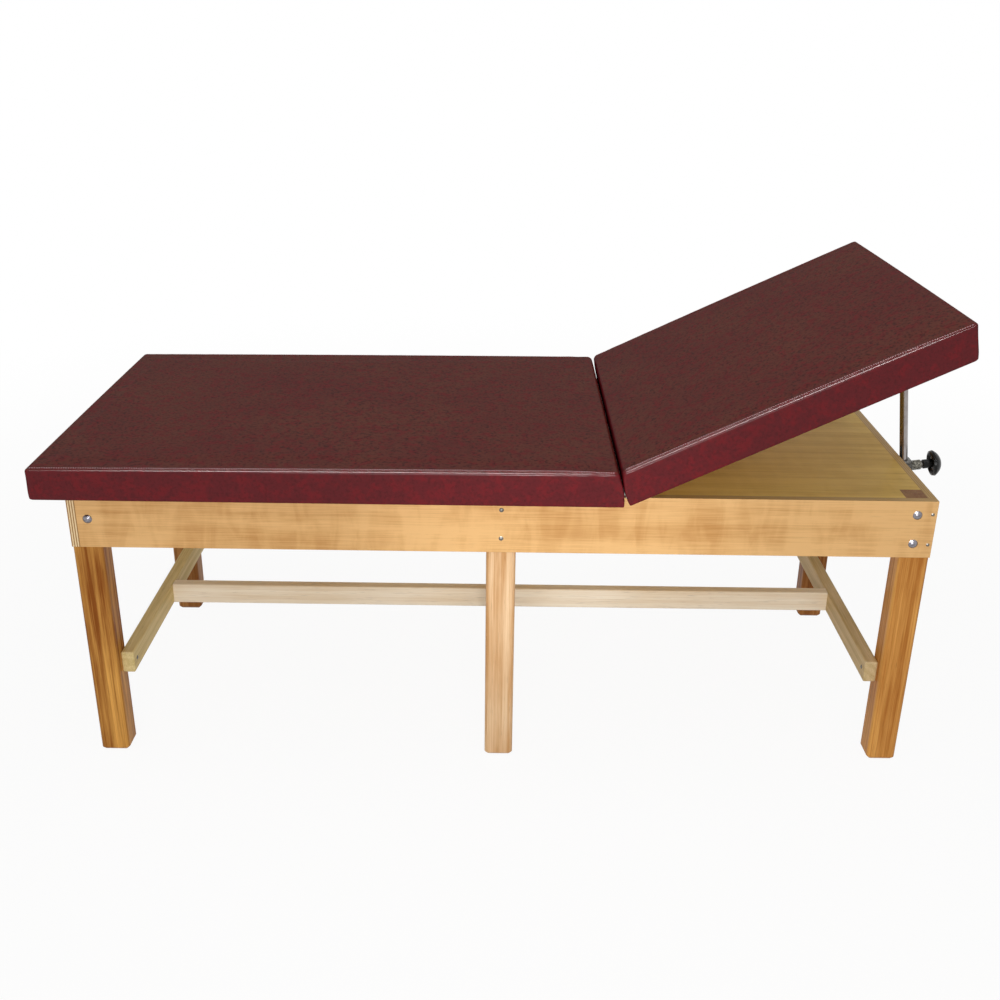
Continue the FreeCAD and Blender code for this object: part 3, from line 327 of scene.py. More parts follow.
# %% Group: figure of the wood
wood_group, given, give = new_group(
    "wood_figure",
    {"Vector": ("Vector", None), "Ring Width": ("Float", 0.016), "Wander": ("Float", 0.05)},
    ("Rings", "Streaks", "Fibres", "Pores", "Clouds", "Curl"),
)
tree = wood_group
slow = stretch(tree, given["Vector"], (0.4, 8, 8))
sway = reckon(tree, "MULTIPLY", cloud(tree, slow, 1.0, 4.0, 0.6), given["Wander"])
pith = stretch(tree, given["Vector"], (0.012, 1, 1), (0, 0.035, 0.09))
from_pith = add(tree, "VectorMath", {0: pith}, operation="LENGTH").outputs["Value"]
turns = reckon(tree, "DIVIDE", reckon(tree, "ADD", from_pith, sway), given["Ring Width"])
wave = reckon(tree, "SINE", reckon(tree, "MULTIPLY", turns, 2 * math.pi))
give("Rings", ease(tree, wave, -0.9, 1.0))
long = stretch(tree, given["Vector"], (1.6, 85, 85))
give("Streaks", ease(tree, cloud(tree, long, 1.0, 5.0, 0.68), 0.36, 0.68))
fine = stretch(tree, given["Vector"], (7, 330, 330))
give("Fibres", cloud(tree, fine, 1.0, 3.0, 0.62))
short = stretch(tree, given["Vector"], (26, 620, 620))
give("Pores", ease(tree, cloud(tree, short, 1.0, 1.0), 0.62, 0.78))
wide = stretch(tree, given["Vector"], (3.0, 11, 11))
give("Clouds", cloud(tree, wide, 1.0, 3.0, 0.5))
bands = stretch(tree, given["Vector"], (26, 7, 7))
give("Curl", ease(tree, cloud(tree, bands, 1.0, 3.0, 0.55, 0.6), 0.34, 0.66))
print("wood group nodes:", len(wood_group.nodes))

# %% [markdown]
# ## Layers on the edge of ply
# A ply board shows its face veneer on its two faces and a stack of thin layers on its edges. How squarely a
# surface faces along the board's thickness tells the two apart, and the depth into the board counts the
# layers off.

# %% Group: layers of the ply
ply_group, given, give = new_group(
    "ply_layers",
    {"Depth": ("Float", 0.0), "Facing": ("Float", 1.0), "Layer": ("Float", 0.0026)},
    ("Edge", "Dark Layer"),
)
tree = ply_group
give("Edge", ease(tree, given["Facing"], 0.75, 0.45))
phase = reckon(tree, "MULTIPLY", reckon(tree, "DIVIDE", given["Depth"], given["Layer"]), math.pi)
give("Dark Layer", ease(tree, reckon(tree, "SINE", phase), -0.25, 0.25))
print("ply group nodes:", len(ply_group.nodes))

# %% [markdown]
# ## One function for every wooden piece
# A wooden finish mixes a pale and a deep tone by the rings and streaks, breaks them up with fibres, clouds
# and pores, and darkens the end grain. Curl is the shimmer across the grain that maple has. The lacquer
# gives the gloss. A Bevel node eases the sharp edges of the solids for the light, as sandpaper does on
# the real ones. On ply, the edges that face up are toned a darker olive: painted shade of the pads that
# overhang the rails.

# %% Finish: wood and ply
EASED_EDGE = 1.3 * MM
PORE = (0.05, 0.02, 0.006, 1)
END_GRAIN = (0.09, 0.038, 0.013, 1)
PALE_LAYERS = (paint(246, 226, 186), paint(228, 200, 152))
DARK_LAYER = paint(170, 128, 84)
# Darker olive for ply edges that face up: painted shade of the pads that overhang them.
SHADED_TOP_EDGE = paint(196, 158, 82)
AXIS_X, AXIS_Y, AXIS_Z = (1, 0, 0), (0, 1, 0), (0, 0, 1)


def along(tree, vector, direction):
    """How far a vector runs along a direction."""
    return add(tree, "VectorMath", {0: vector, 1: direction}, operation="DOT_PRODUCT").outputs["Value"]


def wood_finish(name, grain, through, tones, gloss=0.34, seed=0.0, shares=(0.3, 0.35, 0.0), ends=0.55,
                ply=None, ring_width=0.02, wander=0.08, pores=0.25, lacquer=0.25):
    """Wood with its grain along one direction and its flat sides facing through another. Tones are the pale
    and the deep colour, shares the weights of rings, streaks and curl, ply the place of one face, and
    lacquer how much clear gloss lies on top."""
    material, tree, shader, place, facing = new_finish(name)
    across = tuple(np.cross(through, grain))
    turned = {k: along(tree, place, axis) for k, axis in enumerate((grain, across, through))}
    cut = (seed * 1.7, seed * 0.31, seed * 0.13)
    moved = stretch(tree, add(tree, "CombineXYZ", turned).outputs[0], (1, 1, 1), cut)
    sockets = {"Vector": moved, "Ring Width": ring_width, "Wander": wander}
    wood = add(tree, "Group", sockets, node_tree=wood_group).outputs
    tone = reckon(tree, "MULTIPLY", wood["Rings"], shares[0])
    tone = reckon(tree, "ADD", tone, reckon(tree, "MULTIPLY", wood["Streaks"], shares[1]))
    tone = reckon(tree, "SUBTRACT", tone, reckon(tree, "MULTIPLY", wood["Curl"], shares[2]))
    tone = reckon(tree, "ADD", tone, ease(tree, wood["Clouds"], 0.3, 0.72, 0.0, 0.5))
    tone = reckon(tree, "ADD", tone, ease(tree, wood["Fibres"], 0.3, 0.7, -0.15, 0.2))
    colour = tint(tree, tone, paint(*tones[0]), paint(*tones[1]))
    colour = tint(tree, reckon(tree, "MULTIPLY", wood["Pores"], pores), colour, PORE)
    if ply is None:
        squarely = reckon(tree, "ABSOLUTE", along(tree, facing, grain))
        colour = tint(tree, ease(tree, squarely, 0.6, 0.85, 0.0, ends), colour, END_GRAIN)
    else:
        depth = reckon(tree, "SUBTRACT", along(tree, place, through), ply)
        square = reckon(tree, "ABSOLUTE", along(tree, facing, through))
        layers = add(tree, "Group", {"Depth": depth, "Facing": square}, node_tree=ply_group).outputs
        stack = tint(tree, layers["Dark Layer"], tint(tree, wood["Fibres"], *PALE_LAYERS), DARK_LAYER)
        # Ply edges that face up, such as the rails' top edges, turn darker olive: painted shade of the
        # overhanging pads.
        upward = ease(tree, along(tree, facing, AXIS_Z), 0.6, 0.9, 0.0, 0.75)
        colour = tint(tree, layers["Edge"], colour, tint(tree, upward, stack, SHADED_TOP_EDGE))
    soft_edge = add(tree, "Bevel", {"Radius": EASED_EDGE}, samples=4).outputs[0]
    relief = {"Strength": 0.2, "Distance": 0.25 * MM, "Height": wood["Fibres"], "Normal": soft_edge}
    rough = ease(tree, wood["Fibres"], 0.25, 0.75, gloss - 0.05, gloss + 0.12)
    bump = add(tree, "Bump", relief).outputs[0]
    fill(tree, shader, {"Base Color": colour, "Roughness": rough, "Normal": bump})
    fill(tree, shader, {"Coat Weight": 0.1 * lacquer, "Coat Roughness": 0.2})
    fill(tree, shader, {"Specular IOR Level": 0.25 * lacquer})
    return material


def dress(material, *names):
    """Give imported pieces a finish."""
    for name in names:
        mesh = frame["nodes"][name].data
        mesh.materials.clear()
        mesh.materials.append(material)


print("wood finish ready")

# %% [markdown]
# ## Frame
# The rails are maple-faced ply under honey lacquer. The legs are glued from whatever hardwood was at hand,
# so each leg has a tone of its own: the left one brown and streaky, the middle one pale, the right one
# orange. The stretchers are a plain pale wood, the end ones a little green.

# %% Dress the rails, the deck and the boards
RAIL_TONES = (229, 183, 124), (186, 132, 73)
DECK_TONES = (248, 214, 120), (218, 178, 86)
BOARD_TONES = (214, 178, 128), (178, 134, 84)


def face_place(name, through):
    """Place of the first face of a piece along the direction through it."""
    return float((node_points(name) @ np.array(through, float)).min())


for name, grain, through, seed in (
    ("front_rail", AXIS_X, AXIS_Y, 0.3),
    ("back_rail", AXIS_X, AXIS_Y, 1.9),
    ("foot_end_rail", AXIS_Y, AXIS_X, 3.1),
    ("head_end_rail", AXIS_Y, AXIS_X, 4.6),
):
    rail_ply = wood_finish(
        name + "_ply", grain, through, RAIL_TONES, seed=seed, shares=(0.16, 0.12, 0.3),
        ply=face_place(name, through), ring_width=0.06, wander=0.4, pores=0.08,
    )
    dress(rail_ply, name)
deck_ply = wood_finish(
    "deck_ply", AXIS_X, AXIS_Z, DECK_TONES, gloss=0.3, seed=5.2, shares=(0.3, 0.2, 0.15), lacquer=0.12,
    ply=face_place("deck_panel", AXIS_Z), ring_width=0.07, wander=0.35,
)
dress(deck_ply, "deck_panel")
seat_ply = wood_finish(
    "seat_board_ply", AXIS_X, AXIS_Z, BOARD_TONES, gloss=0.6, seed=7.7, ply=face_place("seat_board", AXIS_Z)
)
dress(seat_ply, "seat_board")
back_axes = tuple(ALONG_BACK), tuple(UP_FROM_BACK)
back_ply = wood_finish(
    "back_board_ply", *back_axes, BOARD_TONES, gloss=0.6, seed=8.4, ply=face_place("back_board", UP_FROM_BACK)
)
dress(back_ply, "back_board")
print("ply pieces dressed")

# %% Dress the legs, the stretchers and the hidden wood
LEG_TONES = {
    "leg_front_foot": ((226, 168, 86), (134, 74, 24)),
    "leg_front_middle": ((242, 210, 170), (200, 150, 99)),
    "leg_front_head": ((227, 167, 90), (172, 108, 46)),
    "leg_back_foot": ((196, 142, 86), (142, 90, 44)),
    "leg_back_middle": ((210, 160, 104), (160, 108, 58)),
    "leg_back_head": ((192, 134, 78), (138, 84, 40)),
}
for seed, (name, tones) in enumerate(LEG_TONES.items()):
    leg_wood = wood_finish(
        name + "_wood", AXIS_Z, AXIS_Y, tones, gloss=0.36, seed=1.3 + 2.1 * seed, shares=(0.25, 0.5, 0.0),
        ring_width=0.035, wander=0.2,
    )
    dress(leg_wood, name)

LONG_TONES = (252, 240, 220), (230, 208, 177)
CROSS_TONES = {
    "foot_stretcher": ((238, 218, 164), (197, 172, 109)),
    "head_stretcher": ((224, 200, 156), (183, 156, 104)),
}
long_wood = wood_finish(
    "long_stretcher_wood", AXIS_X, AXIS_Y, LONG_TONES, gloss=0.45, seed=2.2, shares=(0.25, 0.3, 0.0), ends=0.3
)
dress(long_wood, "long_stretcher")
for seed, (name, tones) in enumerate(CROSS_TONES.items()):
    cross_wood = wood_finish(
        name + "_wood", AXIS_Y, AXIS_X, tones, gloss=0.42, seed=6.1 + seed, shares=(0.25, 0.3, 0.0), ends=0.08
    )
    dress(cross_wood, name)

RAW_TONES = (222, 192, 148), (190, 150, 102)
dress(wood_finish("raw_wood_lengthways", AXIS_X, AXIS_Z, RAW_TONES, gloss=0.62, seed=3.3), "deck_side_cleats")
raw_crossways = wood_finish("raw_wood_crossways", AXIS_Y, AXIS_Z, RAW_TONES, gloss=0.62, seed=4.4)
dress(raw_crossways, "deck_bearer", "deck_end_cleats")
print("legs dressed:", len(LEG_TONES))

# %% [markdown]
# ## Metal and plastic
# Bright metal looks real when it isn't perfect: fingers and dust change its gloss from place to place. One
# group makes that smear, and the plated, brushed and moulded finishes each use it with values of their own.

# %% Group: smears and fine scratches
smear_group, given, give = new_group(
    "smears", {"Vector": ("Vector", None), "Size": ("Float", 60.0)}, ("Smear", "Scratch")
)
tree = smear_group
give("Smear", cloud(tree, given["Vector"], given["Size"], 4.0, 0.6))
thin = stretch(tree, given["Vector"], (900, 900, 40))
give("Scratch", cloud(tree, thin, 1.0, 2.0))
print("smear group nodes:", len(smear_group.nodes))

# %% Finishes: metal and plastic


def hard_finish(name, clean, dull, metallic, gloss, matt, size=60.0, scratch=0.06, shine=0.5):
    """Plated metal or moulded plastic whose screen colour and gloss change with the smears."""
    material, tree, shader, place, _ = new_finish(name)
    smears = add(tree, "Group", {"Vector": place, "Size": size}, node_tree=smear_group)
    share = ease(tree, smears.outputs["Smear"], 0.35, 0.7)
    bump = add(
        tree, "Bump", {"Strength": scratch, "Distance": 0.1 * MM, "Height": smears.outputs["Scratch"]}
    ).outputs[0]
    colour = tint(tree, share, paint(*clean), paint(*dull))
    fill(tree, shader, {"Base Color": colour, "Metallic": metallic})
    fill(tree, shader, {"Roughness": ease(tree, share, 0, 1, gloss, matt), "Normal": bump})
    fill(tree, shader, {"Specular IOR Level": shine})
    return material


chrome = hard_finish("rod_chrome", (160, 154, 152), (142, 135, 133), 1.0, 0.12, 0.2, 45)
bolt_steel = hard_finish("bolt_nickel", (146, 144, 150), (104, 100, 106), 1.0, 0.24, 0.36, 300)
screw_steel = hard_finish("screw_zinc", (124, 121, 116), (88, 84, 78), 1.0, 0.4, 0.55, 400)
hinge_steel = hard_finish("hinge_steel", (186, 184, 180), (150, 146, 140), 1.0, 0.25, 0.4, 80)
bracket_steel = hard_finish("bracket_steel", (112, 110, 106), (78, 76, 72), 1.0, 0.28, 0.42, 80)
thread_steel = hard_finish("thread_steel", (150, 148, 138), (46, 44, 40), 1.0, 0.3, 0.55, 300)
tip_brass = hard_finish("tip_brass", (206, 170, 96), (170, 132, 70), 1.0, 0.25, 0.4, 200)
knob_tones = (14, 13, 12), (22, 21, 19)
knob_plastic = hard_finish("knob_plastic", *knob_tones, 0.0, 0.2, 0.36, 90, shine=0.2)

dress(chrome, "support_rod")
dress(bolt_steel, "rail_bolts", "rail_bolt_washers", "rail_bolt_nuts")
dress(
    screw_steel, "middle_leg_screws", "corner_screws", "stretcher_screws", "long_stretcher_screws",
    "seat_board_screws", "clamp_bracket_screws", "rod_bracket_screws", "hinge_screws_seat",
    "hinge_screws_back",
)
dress(hinge_steel, "hinge_leaf_seat", "hinge_leaf_back", "hinge_pin")
dress(
    bracket_steel, "rod_bracket", "rod_pivot_pin", "rod_end_stop", "clamp_bracket", "clamp_block",
    "clamp_pivot_pins", "clamp_screw",
)
dress(tip_brass, "clamp_pad")
dress(knob_plastic, "clamp_knob")
print("hard finishes dressed")

# %% [markdown]
# ## Vinyl
# The cover is an embossed burgundy vinyl, printed with a fine dark mottle and a few redder flecks so that
# it looks like leather. Where it faces up, slow brown patches are a painted reflection of a warm brown room.
# The print and the patches are worked out from the point's place, so they have no seams and no stretch.
# The emboss is a fine grain of little cells, felt in the gloss more than seen. All of the gloss comes from
# a thin clear coat, so the colour under it stays deep where the white studio is mirrored.

# %% Group: print, patches of painted reflection, and emboss of the vinyl
vinyl_group, given, give = new_group(
    "vinyl_print", {"Vector": ("Vector", None)}, ("Dark Fleck", "Red Fleck", "Drift", "Grain")
)
tree = vinyl_group
give("Dark Fleck", ease(tree, cloud(tree, given["Vector"], 150.0, 4.0, 0.65), 0.46, 0.68))
red_place = stretch(tree, given["Vector"], (1, 1, 1), (3.1, 1.7, 0.4))
give("Red Fleck", ease(tree, cloud(tree, red_place, 46.0, 5.0, 0.66), 0.45, 0.64))
# Slow noise that places the brown patches of painted reflection on the upward-facing vinyl.
reflection_patch_noise = cloud(tree, given["Vector"], 4.2, 6.0, 0.6)
give("Drift", ease(tree, reflection_patch_noise, 0.35, 0.65, 0.5, 0.8))
cell_sockets = {"Vector": given["Vector"], "Scale": 620.0}
cells = add(tree, "TexVoronoi", cell_sockets, feature="SMOOTH_F1").outputs["Distance"]
fine_grain = cloud(tree, given["Vector"], 900.0, 2.0)
give("Grain", reckon(tree, "ADD", cells, reckon(tree, "MULTIPLY", fine_grain, 0.5)))
print("vinyl group nodes:", len(vinyl_group.nodes))

# %% Finish: burgundy vinyl, thread and staple wire
VINYL = paint(91, 20, 27)
VINYL_DARK = paint(50, 14, 14)
VINYL_RED = paint(112, 20, 27)
# Brown of a painted reflection of a warm room, mixed in where the vinyl faces up.
VINYL_REFLECTED_BROWN = paint(104, 56, 40)


def vinyl_finish(name):
    """Burgundy vinyl: base, slow brown patches of painted reflection where it faces up, red flecks and dark
    flecks.
    """
    material, tree, shader, place, facing = new_finish(name)
    print_and_reflection_masks = add(tree, "Group", {"Vector": place}, node_tree=vinyl_group).outputs
    lift = along(tree, facing, AXIS_Z)
    # Upward-facing vinyl takes brown patches: a painted reflection of a warm brown room, not a colour of the
    # vinyl.
    reflected_brown_share = reckon(tree, "MULTIPLY", print_and_reflection_masks["Drift"], ease(tree, lift, 0.5, 0.9, 0.05, 0.95))
    colour = tint(tree, reflected_brown_share, VINYL, VINYL_REFLECTED_BROWN)
    colour = tint(tree, reckon(tree, "MULTIPLY", print_and_reflection_masks["Red Fleck"], 0.65), colour, VINYL_RED)
    dark = reckon(tree, "MULTIPLY", print_and_reflection_masks["Dark Fleck"], ease(tree, lift, 0.5, 0.9, 0.35, 0.8))
    colour = tint(tree, dark, colour, VINYL_DARK)
    rough = ease(tree, print_and_reflection_masks["Dark Fleck"], 0, 1, 0.25, 0.29)
    relief = {"Strength": 0.07, "Distance": 0.12 * MM, "Height": print_and_reflection_masks["Grain"]}
    bump = add(tree, "Bump", relief).outputs[0]
    fill(tree, shader, {"Base Color": colour, "Roughness": rough, "Normal": bump})
    fill(tree, shader, {"Specular IOR Level": 0.0, "Coat Weight": 0.075, "Coat Roughness": 0.22})
    fill(tree, shader, {"Coat IOR": 2.5})
    return material


vinyl = vinyl_finish("burgundy_vinyl")
thread = hard_finish("pink_thread", (222, 176, 182), (190, 140, 148), 0.0, 0.55, 0.7, 700)
staple_wire = hard_finish("staple_wire", (196, 196, 196), (160, 160, 160), 1.0, 0.25, 0.4, 500)
print("vinyl ready")

# %% [markdown]
# ## A block of grid points
# A pad starts as a plain block whose six sides are grids. The sides share the points of their common edges,
# so the surface is closed from the start and no doubles have to be merged. The rows stand close together
# near the edges, where the cover rolls over, and further apart in the flat middle.

# %% Grids on a block


def box_lattice(counts):
    """Surface of a block of counts[0] x counts[1] x counts[2] points: each side is a grid, and the sides
    share the points of their edges. Returns the three whole-number places of each point, and the quads,
    which all face outwards because a side's two directions and its outward one follow in turn."""
    numbers = np.arange(np.prod(counts)).reshape(counts)
    sides = []
    for axis in range(3):
        order = ((axis + 1) % 3, (axis + 2) % 3, axis)
        for end in (0, -1):
            side = np.transpose(numbers, order)[:, :, end]
            corners = [side[:-1, :-1], side[1:, :-1], side[1:, 1:], side[:-1, 1:]]
            quads = np.stack(corners, axis=-1).reshape(-1, 4)
            sides.append(quads if end else quads[:, ::-1])
    kept, quads = np.unique(np.concatenate(sides), return_inverse=True)
    return np.stack(np.unravel_index(kept, counts), axis=1), quads.reshape(-1, 4)


def block_points(steps):
    """A block with its points at given places along each axis: whole-number places, quads and points."""
    places, quads = box_lattice([len(axis) for axis in steps])
    return places, quads, np.stack([axis[places[:, k]] for k, axis in enumerate(steps)], axis=1)


def tube_quads(rows, around):
    """Quads of a tube of rings, each of so many points."""
    ring = np.arange(rows * around).reshape(rows, around)
    ahead = np.roll(ring, -1, axis=1)
    return np.stack([ring[:-1], ahead[:-1], ahead[1:], ring[1:]], axis=-1).reshape(-1, 4)


def unit(rows):
    """Rows scaled to length 1."""
    return rows / np.linalg.norm(rows, axis=1, keepdims=True)


def graded(low, high, near_low, near_high, pitch):
    """Places from low to high: chosen distances from each end, and even steps of about a pitch between."""
    start = low + np.array(near_low) * MM
    stop = high - np.array(near_high)[::-1] * MM
    count = max(2, round((stop[0] - start[-1]) / (pitch * MM)))
    return np.concatenate([start, np.linspace(start[-1], stop[0], count + 1)[1:-1], stop])


def new_piece(name, points, quads, material, smooth=True):
    """A mesh object at the origin from rows of points and rows of quads."""
    mesh = bpy.data.meshes.new(name)
    mesh.vertices.add(len(points))
    mesh.vertices.foreach_set("co", np.ascontiguousarray(points, np.float32).ravel())
    mesh.loops.add(quads.size)
    mesh.loops.foreach_set("vertex_index", np.ascontiguousarray(quads, np.int32).ravel())
    mesh.polygons.add(len(quads))
    mesh.polygons.foreach_set("loop_start", np.arange(0, quads.size, quads.shape[1], dtype=np.int32))
    mesh.polygons.foreach_set("use_smooth", np.full(len(quads), smooth))
    mesh.materials.append(material)
    mesh.update(calc_edges=True)
    mesh.validate()
    piece = bpy.data.objects.new(name, mesh)
    scene.collection.objects.link(piece)
    return piece


print("a block of 3 x 3 x 3 points has", len(box_lattice((3, 3, 3))[1]), "quads")

# %% [markdown]
# ## Form of a pad
# The block becomes a pad in a few steps, each a formula on all of its points at once. The edges are rounded
# by taking the nearest point of a smaller block and going out from it by the edge radius. The lower edge
# draws in, the top is crowned and swells a little towards the break, and the free end slopes. The end at the
# break leans onto the plane halfway between the two pads, so that they press together there as foam does,
# with room for the hinge below.

# %% Sizes of the pads
ROLL_AT_BREAK, LOW_ROLL_AT_BREAK = 10 * MM, 3 * MM
ROLL_AT_END = 9 * MM
ROLL_OF_SIDE, ROLL_OF_TOP = 9 * MM, 8 * MM
BOTTOM_ROLL = 3.5 * MM
TUCK, TUCK_HEIGHT = 0.6 * MM, 14 * MM
TOP_CROWN = 2.5 * MM
SWELL = {"seat": (6 * MM, -2.5 * MM), "back": (6 * MM, 3 * MM)}
END_SLOPE = {"seat": math.radians(2), "back": math.radians(16.5)}
END_FULLNESS = 2 * MM
TOUCH_GAP, CREASE_OPENING = 0.9 * MM, 1.8 * MM
BREAK_GAP = 1.75 * MM
KNUCKLE_ROOM = 3.8 * MM
CAD_CROWN = 5 * MM

pads = {}
for side in PAD_DIRECTIONS:
    cover = on_pad(node_points(side + "_cover"), side)
    low = np.array([0, cover[:, 1].min(), cover[:, 2].min()])
    high = cover.max(axis=0) + np.array([END_FULLNESS, 0, -CAD_CROWN])
    pads[side] = {"low": low, "high": high}
    print(side, "pad length %.1f width %.1f height %.1f mm" % tuple((high - low) / MM))


# %% Formulas of the pad's form
def s_curve(value, low, high):
    """Smooth step from 0 at low to 1 at high."""
    share = np.clip((value - low) / (high - low), 0, 1)
    return share * share * (3 - 2 * share)


def pad_form(spots, side):
    """Block points to pad points, with the outward direction at each of them."""
    low, high = pads[side]["low"], pads[side]["high"]
    length, half_width = high[0], high[1]
    level = spots[:, 2] - low[2]
    rise = level / (high[2] - low[2])
    break_roll = LOW_ROLL_AT_BREAK + (ROLL_AT_BREAK - LOW_ROLL_AT_BREAK) * s_curve(rise, 0.6, 1)
    rolls = np.stack(
        [
            np.where(spots[:, 0] < length / 2, break_roll, ROLL_AT_END),
            BOTTOM_ROLL + (ROLL_OF_SIDE - BOTTOM_ROLL) * s_curve(rise, 0.2, 0.8),
            np.where(rise < 0.5, BOTTOM_ROLL, ROLL_OF_TOP),
        ],
        axis=1,
    )
    core = np.clip(spots, low + rolls, high - rolls)
    out = spots - core
    reach = np.linalg.norm(out / rolls, axis=1, keepdims=True)
    points = core + out / np.maximum(reach, 1)
    outward = unit(out / rolls**2)

    tuck = TUCK * (1 - s_curve(level, 0, TUCK_HEIGHT))
    points[:, 1] *= 1 - tuck / half_width
    share = points[:, 0] / length
    at_break, at_end = SWELL[side]
    dome = 1 - ((2 * share - 1) ** 2 + (points[:, 1] / half_width) ** 2) / 2
    swell = at_break + (at_end - at_break) * share + TOP_CROWN * dome
    points[:, 2] += swell * s_curve(rise, 0.3, 1)

    height = points[:, 2]
    opening = TOUCH_GAP + CREASE_OPENING * s_curve(rise, 0.55, 1)
    lean = np.where(height > 0, opening + height * math.tan(back_angle / 2), BREAK_GAP)
    lean = np.maximum(lean, np.sqrt(np.maximum(KNUCKLE_ROOM**2 - height**2, 0)))
    end = length - (high[2] - height) * math.tan(END_SLOPE[side]) - tuck
    points[:, 0] = lean + share * (end - lean)
    return points, outward


print("pad form ready")

# %% [markdown]
# ## Blowing the cover up
# Foam pushes a cover out and the staples under the board hold it back. Blender's cloth does the same with a
# little pressure inside a closed skin: the sides swell between seam and board, the top fills, and the corners
# pull tight. A coarse block is enough, and its movement is then spread over the fine one with a cubic curve.
# Only the part of the movement straight out from the pad is kept, because foam holds the edges where they
# are, and it is capped softly, because foam gives way only so far.

# %% Cloth: the movement of the cover
CLOTH_PITCH = 13
CLOTH_FRAMES = 20
CLOTH_PRESSURE = 4
MOST_PUSH, MOST_SINK = 1.5 * MM, 0.2 * MM
STAPLED_HEIGHT, PUSH_FADE_HEIGHT = 8 * MM, 25 * MM


def even_steps(low, high):
    """Evenly spaced places from low to high, about one cloth pitch apart."""
    return np.linspace(low, high, max(5, round((high - low) / (CLOTH_PITCH * MM)) + 1))


def blow_up(points, quads, held):
    """Movement of each point of a closed skin under pressure, with some points held."""
    skin = new_piece("cover_in_the_making", points, quads, vinyl)
    staples = skin.vertex_groups.new(name="stapled")
    staples.add(np.flatnonzero(held).tolist(), 1.0, "REPLACE")
    cloth = skin.modifiers.new("cover", "CLOTH")
    settings = cloth.settings
    settings.vertex_group_mass = "stapled"
    settings.quality = 5
    settings.mass = 0.4
    settings.tension_stiffness = 30
    settings.compression_stiffness = 20
    settings.shear_stiffness = 10
    settings.bending_stiffness = 1.5
    settings.use_pressure = True
    settings.uniform_pressure_force = CLOTH_PRESSURE
    settings.effector_weights.gravity = 0
    cloth.point_cache.frame_start = 1
    cloth.point_cache.frame_end = CLOTH_FRAMES
    for step in range(1, CLOTH_FRAMES + 1):
        scene.frame_set(step)
    blown = skin.evaluated_get(bpy.context.evaluated_depsgraph_get()).to_mesh()
    ended = np.empty(len(blown.vertices) * 3, np.float32)
    blown.vertices.foreach_get("co", ended)
    mesh = skin.data
    bpy.data.objects.remove(skin)
    bpy.data.meshes.remove(mesh)
    scene.frame_set(1)
    return ended.reshape(-1, 3) - points


def kept_push(movement, outward, level):
    """Outward part of each movement: short ones stay, long ones level off, and it fades to nothing towards
    the staples below and on the face at the break, which presses on the other pad."""
    push = np.maximum((movement * outward).sum(axis=1), -MOST_SINK)
    push = MOST_PUSH * np.tanh(push / MOST_PUSH)
    free = 1 - s_curve(-outward[:, 0], 0.2, 0.8)
    free = np.where(outward[:, 0] < 0, free, 1)
    return push * free * s_curve(level, 0, PUSH_FADE_HEIGHT)


for side, pad in pads.items():
    began = time.time()
    steps = [even_steps(low, high) for low, high in zip(pad["low"], pad["high"])]
    places, quads, spots = block_points(steps)
    pushed = np.zeros([len(axis) for axis in steps])
    points, outward = pad_form(spots, side)
    level = spots[:, 2] - pad["low"][2]
    movement = blow_up(points, quads, level < STAPLED_HEIGHT)
    pushed[tuple(places.T)] = kept_push(movement, outward, level)
    print(side, "furthest push %.1f mm" % (pushed.max() / MM))
    pad["steps"], pad["pushed"] = steps, pushed
    print(side, "cloth points", len(spots), "in %.1f s" % (time.time() - began))

# %% [markdown]
# ## Spreading the push over a fine surface
# Through four evenly spaced values runs a cubic curve that passes smoothly through the middle two. Used
# along each direction in turn, it carries the coarse push to any point of the surface.

# %% Cubic curve through the coarse values


def cubic_shares(step_places, wanted):
    """For each wanted place, the first of its four neighbours among even steps, and their shares."""
    pitch = step_places[1] - step_places[0]
    at = np.clip((wanted - step_places[0]) / pitch, 0, len(step_places) - 1.000001)
    first = np.floor(at).astype(int)
    t = at - first
    shares = np.stack(
        [
            -0.5 * t + t**2 - 0.5 * t**3,
            1 - 2.5 * t**2 + 1.5 * t**3,
            0.5 * t + 2 * t**2 - 1.5 * t**3,
            -0.5 * t**2 + 0.5 * t**3,
        ],
        axis=0,
    )
    return first - 1, shares


def cloth_push(spots, side):
    """Push of the cloth at any points of the block's surface."""
    steps, pushed = pads[side]["steps"], pads[side]["pushed"]
    around = [cubic_shares(axis, spots[:, k]) for k, axis in enumerate(steps)]
    total = np.zeros(len(spots))
    for neighbour in np.ndindex(4, 4, 4):
        cell = []
        share = 1.0
        for axis, n, (first, shares) in zip(steps, neighbour, around):
            cell.append(np.clip(first + n, 0, len(axis) - 1))
            share = share * shares[n]
        total += share * pushed[tuple(cell)]
    return total


seat_middle = np.array([[0.6, 0, pads["seat"]["high"][2]]])
print("push at the middle of the seat: %.2f mm" % (cloth_push(seat_middle, "seat")[0] / MM))

# %% [markdown]
# ## Seam, dents and puckers
# The top panel and the side bands meet in a lapped seam along the two long edges: a raised lip with a row of
# stitches on it and a groove under it. The seam slides down the roll by the break of the seat and at the
# free end of the back. At the foot end the cover is only folded over and pulled, which leaves soft dents, and
# by the break the side band puckers a little. Sines of unlike lengths added up look uneven enough, and give
# the same puckers on every run.

# %% Formulas of the seam and the dents
LIP_START, LIP_STOP, LIP_HEIGHT, LIP_EASE = -13 * MM, -4.2 * MM, 0.7 * MM, 1.5 * MM
GROOVE_PLACE, GROOVE_WIDTH, GROOVE_DEPTH = -3.4 * MM, 1.0 * MM, 0.9 * MM
STITCH_PLACE = -7.6 * MM
SEAM_SLIDE = 5 * MM
PUCKER_DEPTH, PUCKER_REACH = 0.8 * MM, 150 * MM
# Dents by the seat's foot end: place across, half width, depth and reach, in millimetres.
FOOT_DENTS = ((80, 50, 2.0, 45), (-290, 14, 1.2, 30), (-120, 30, 0.8, 35), (260, 40, 0.8, 30))


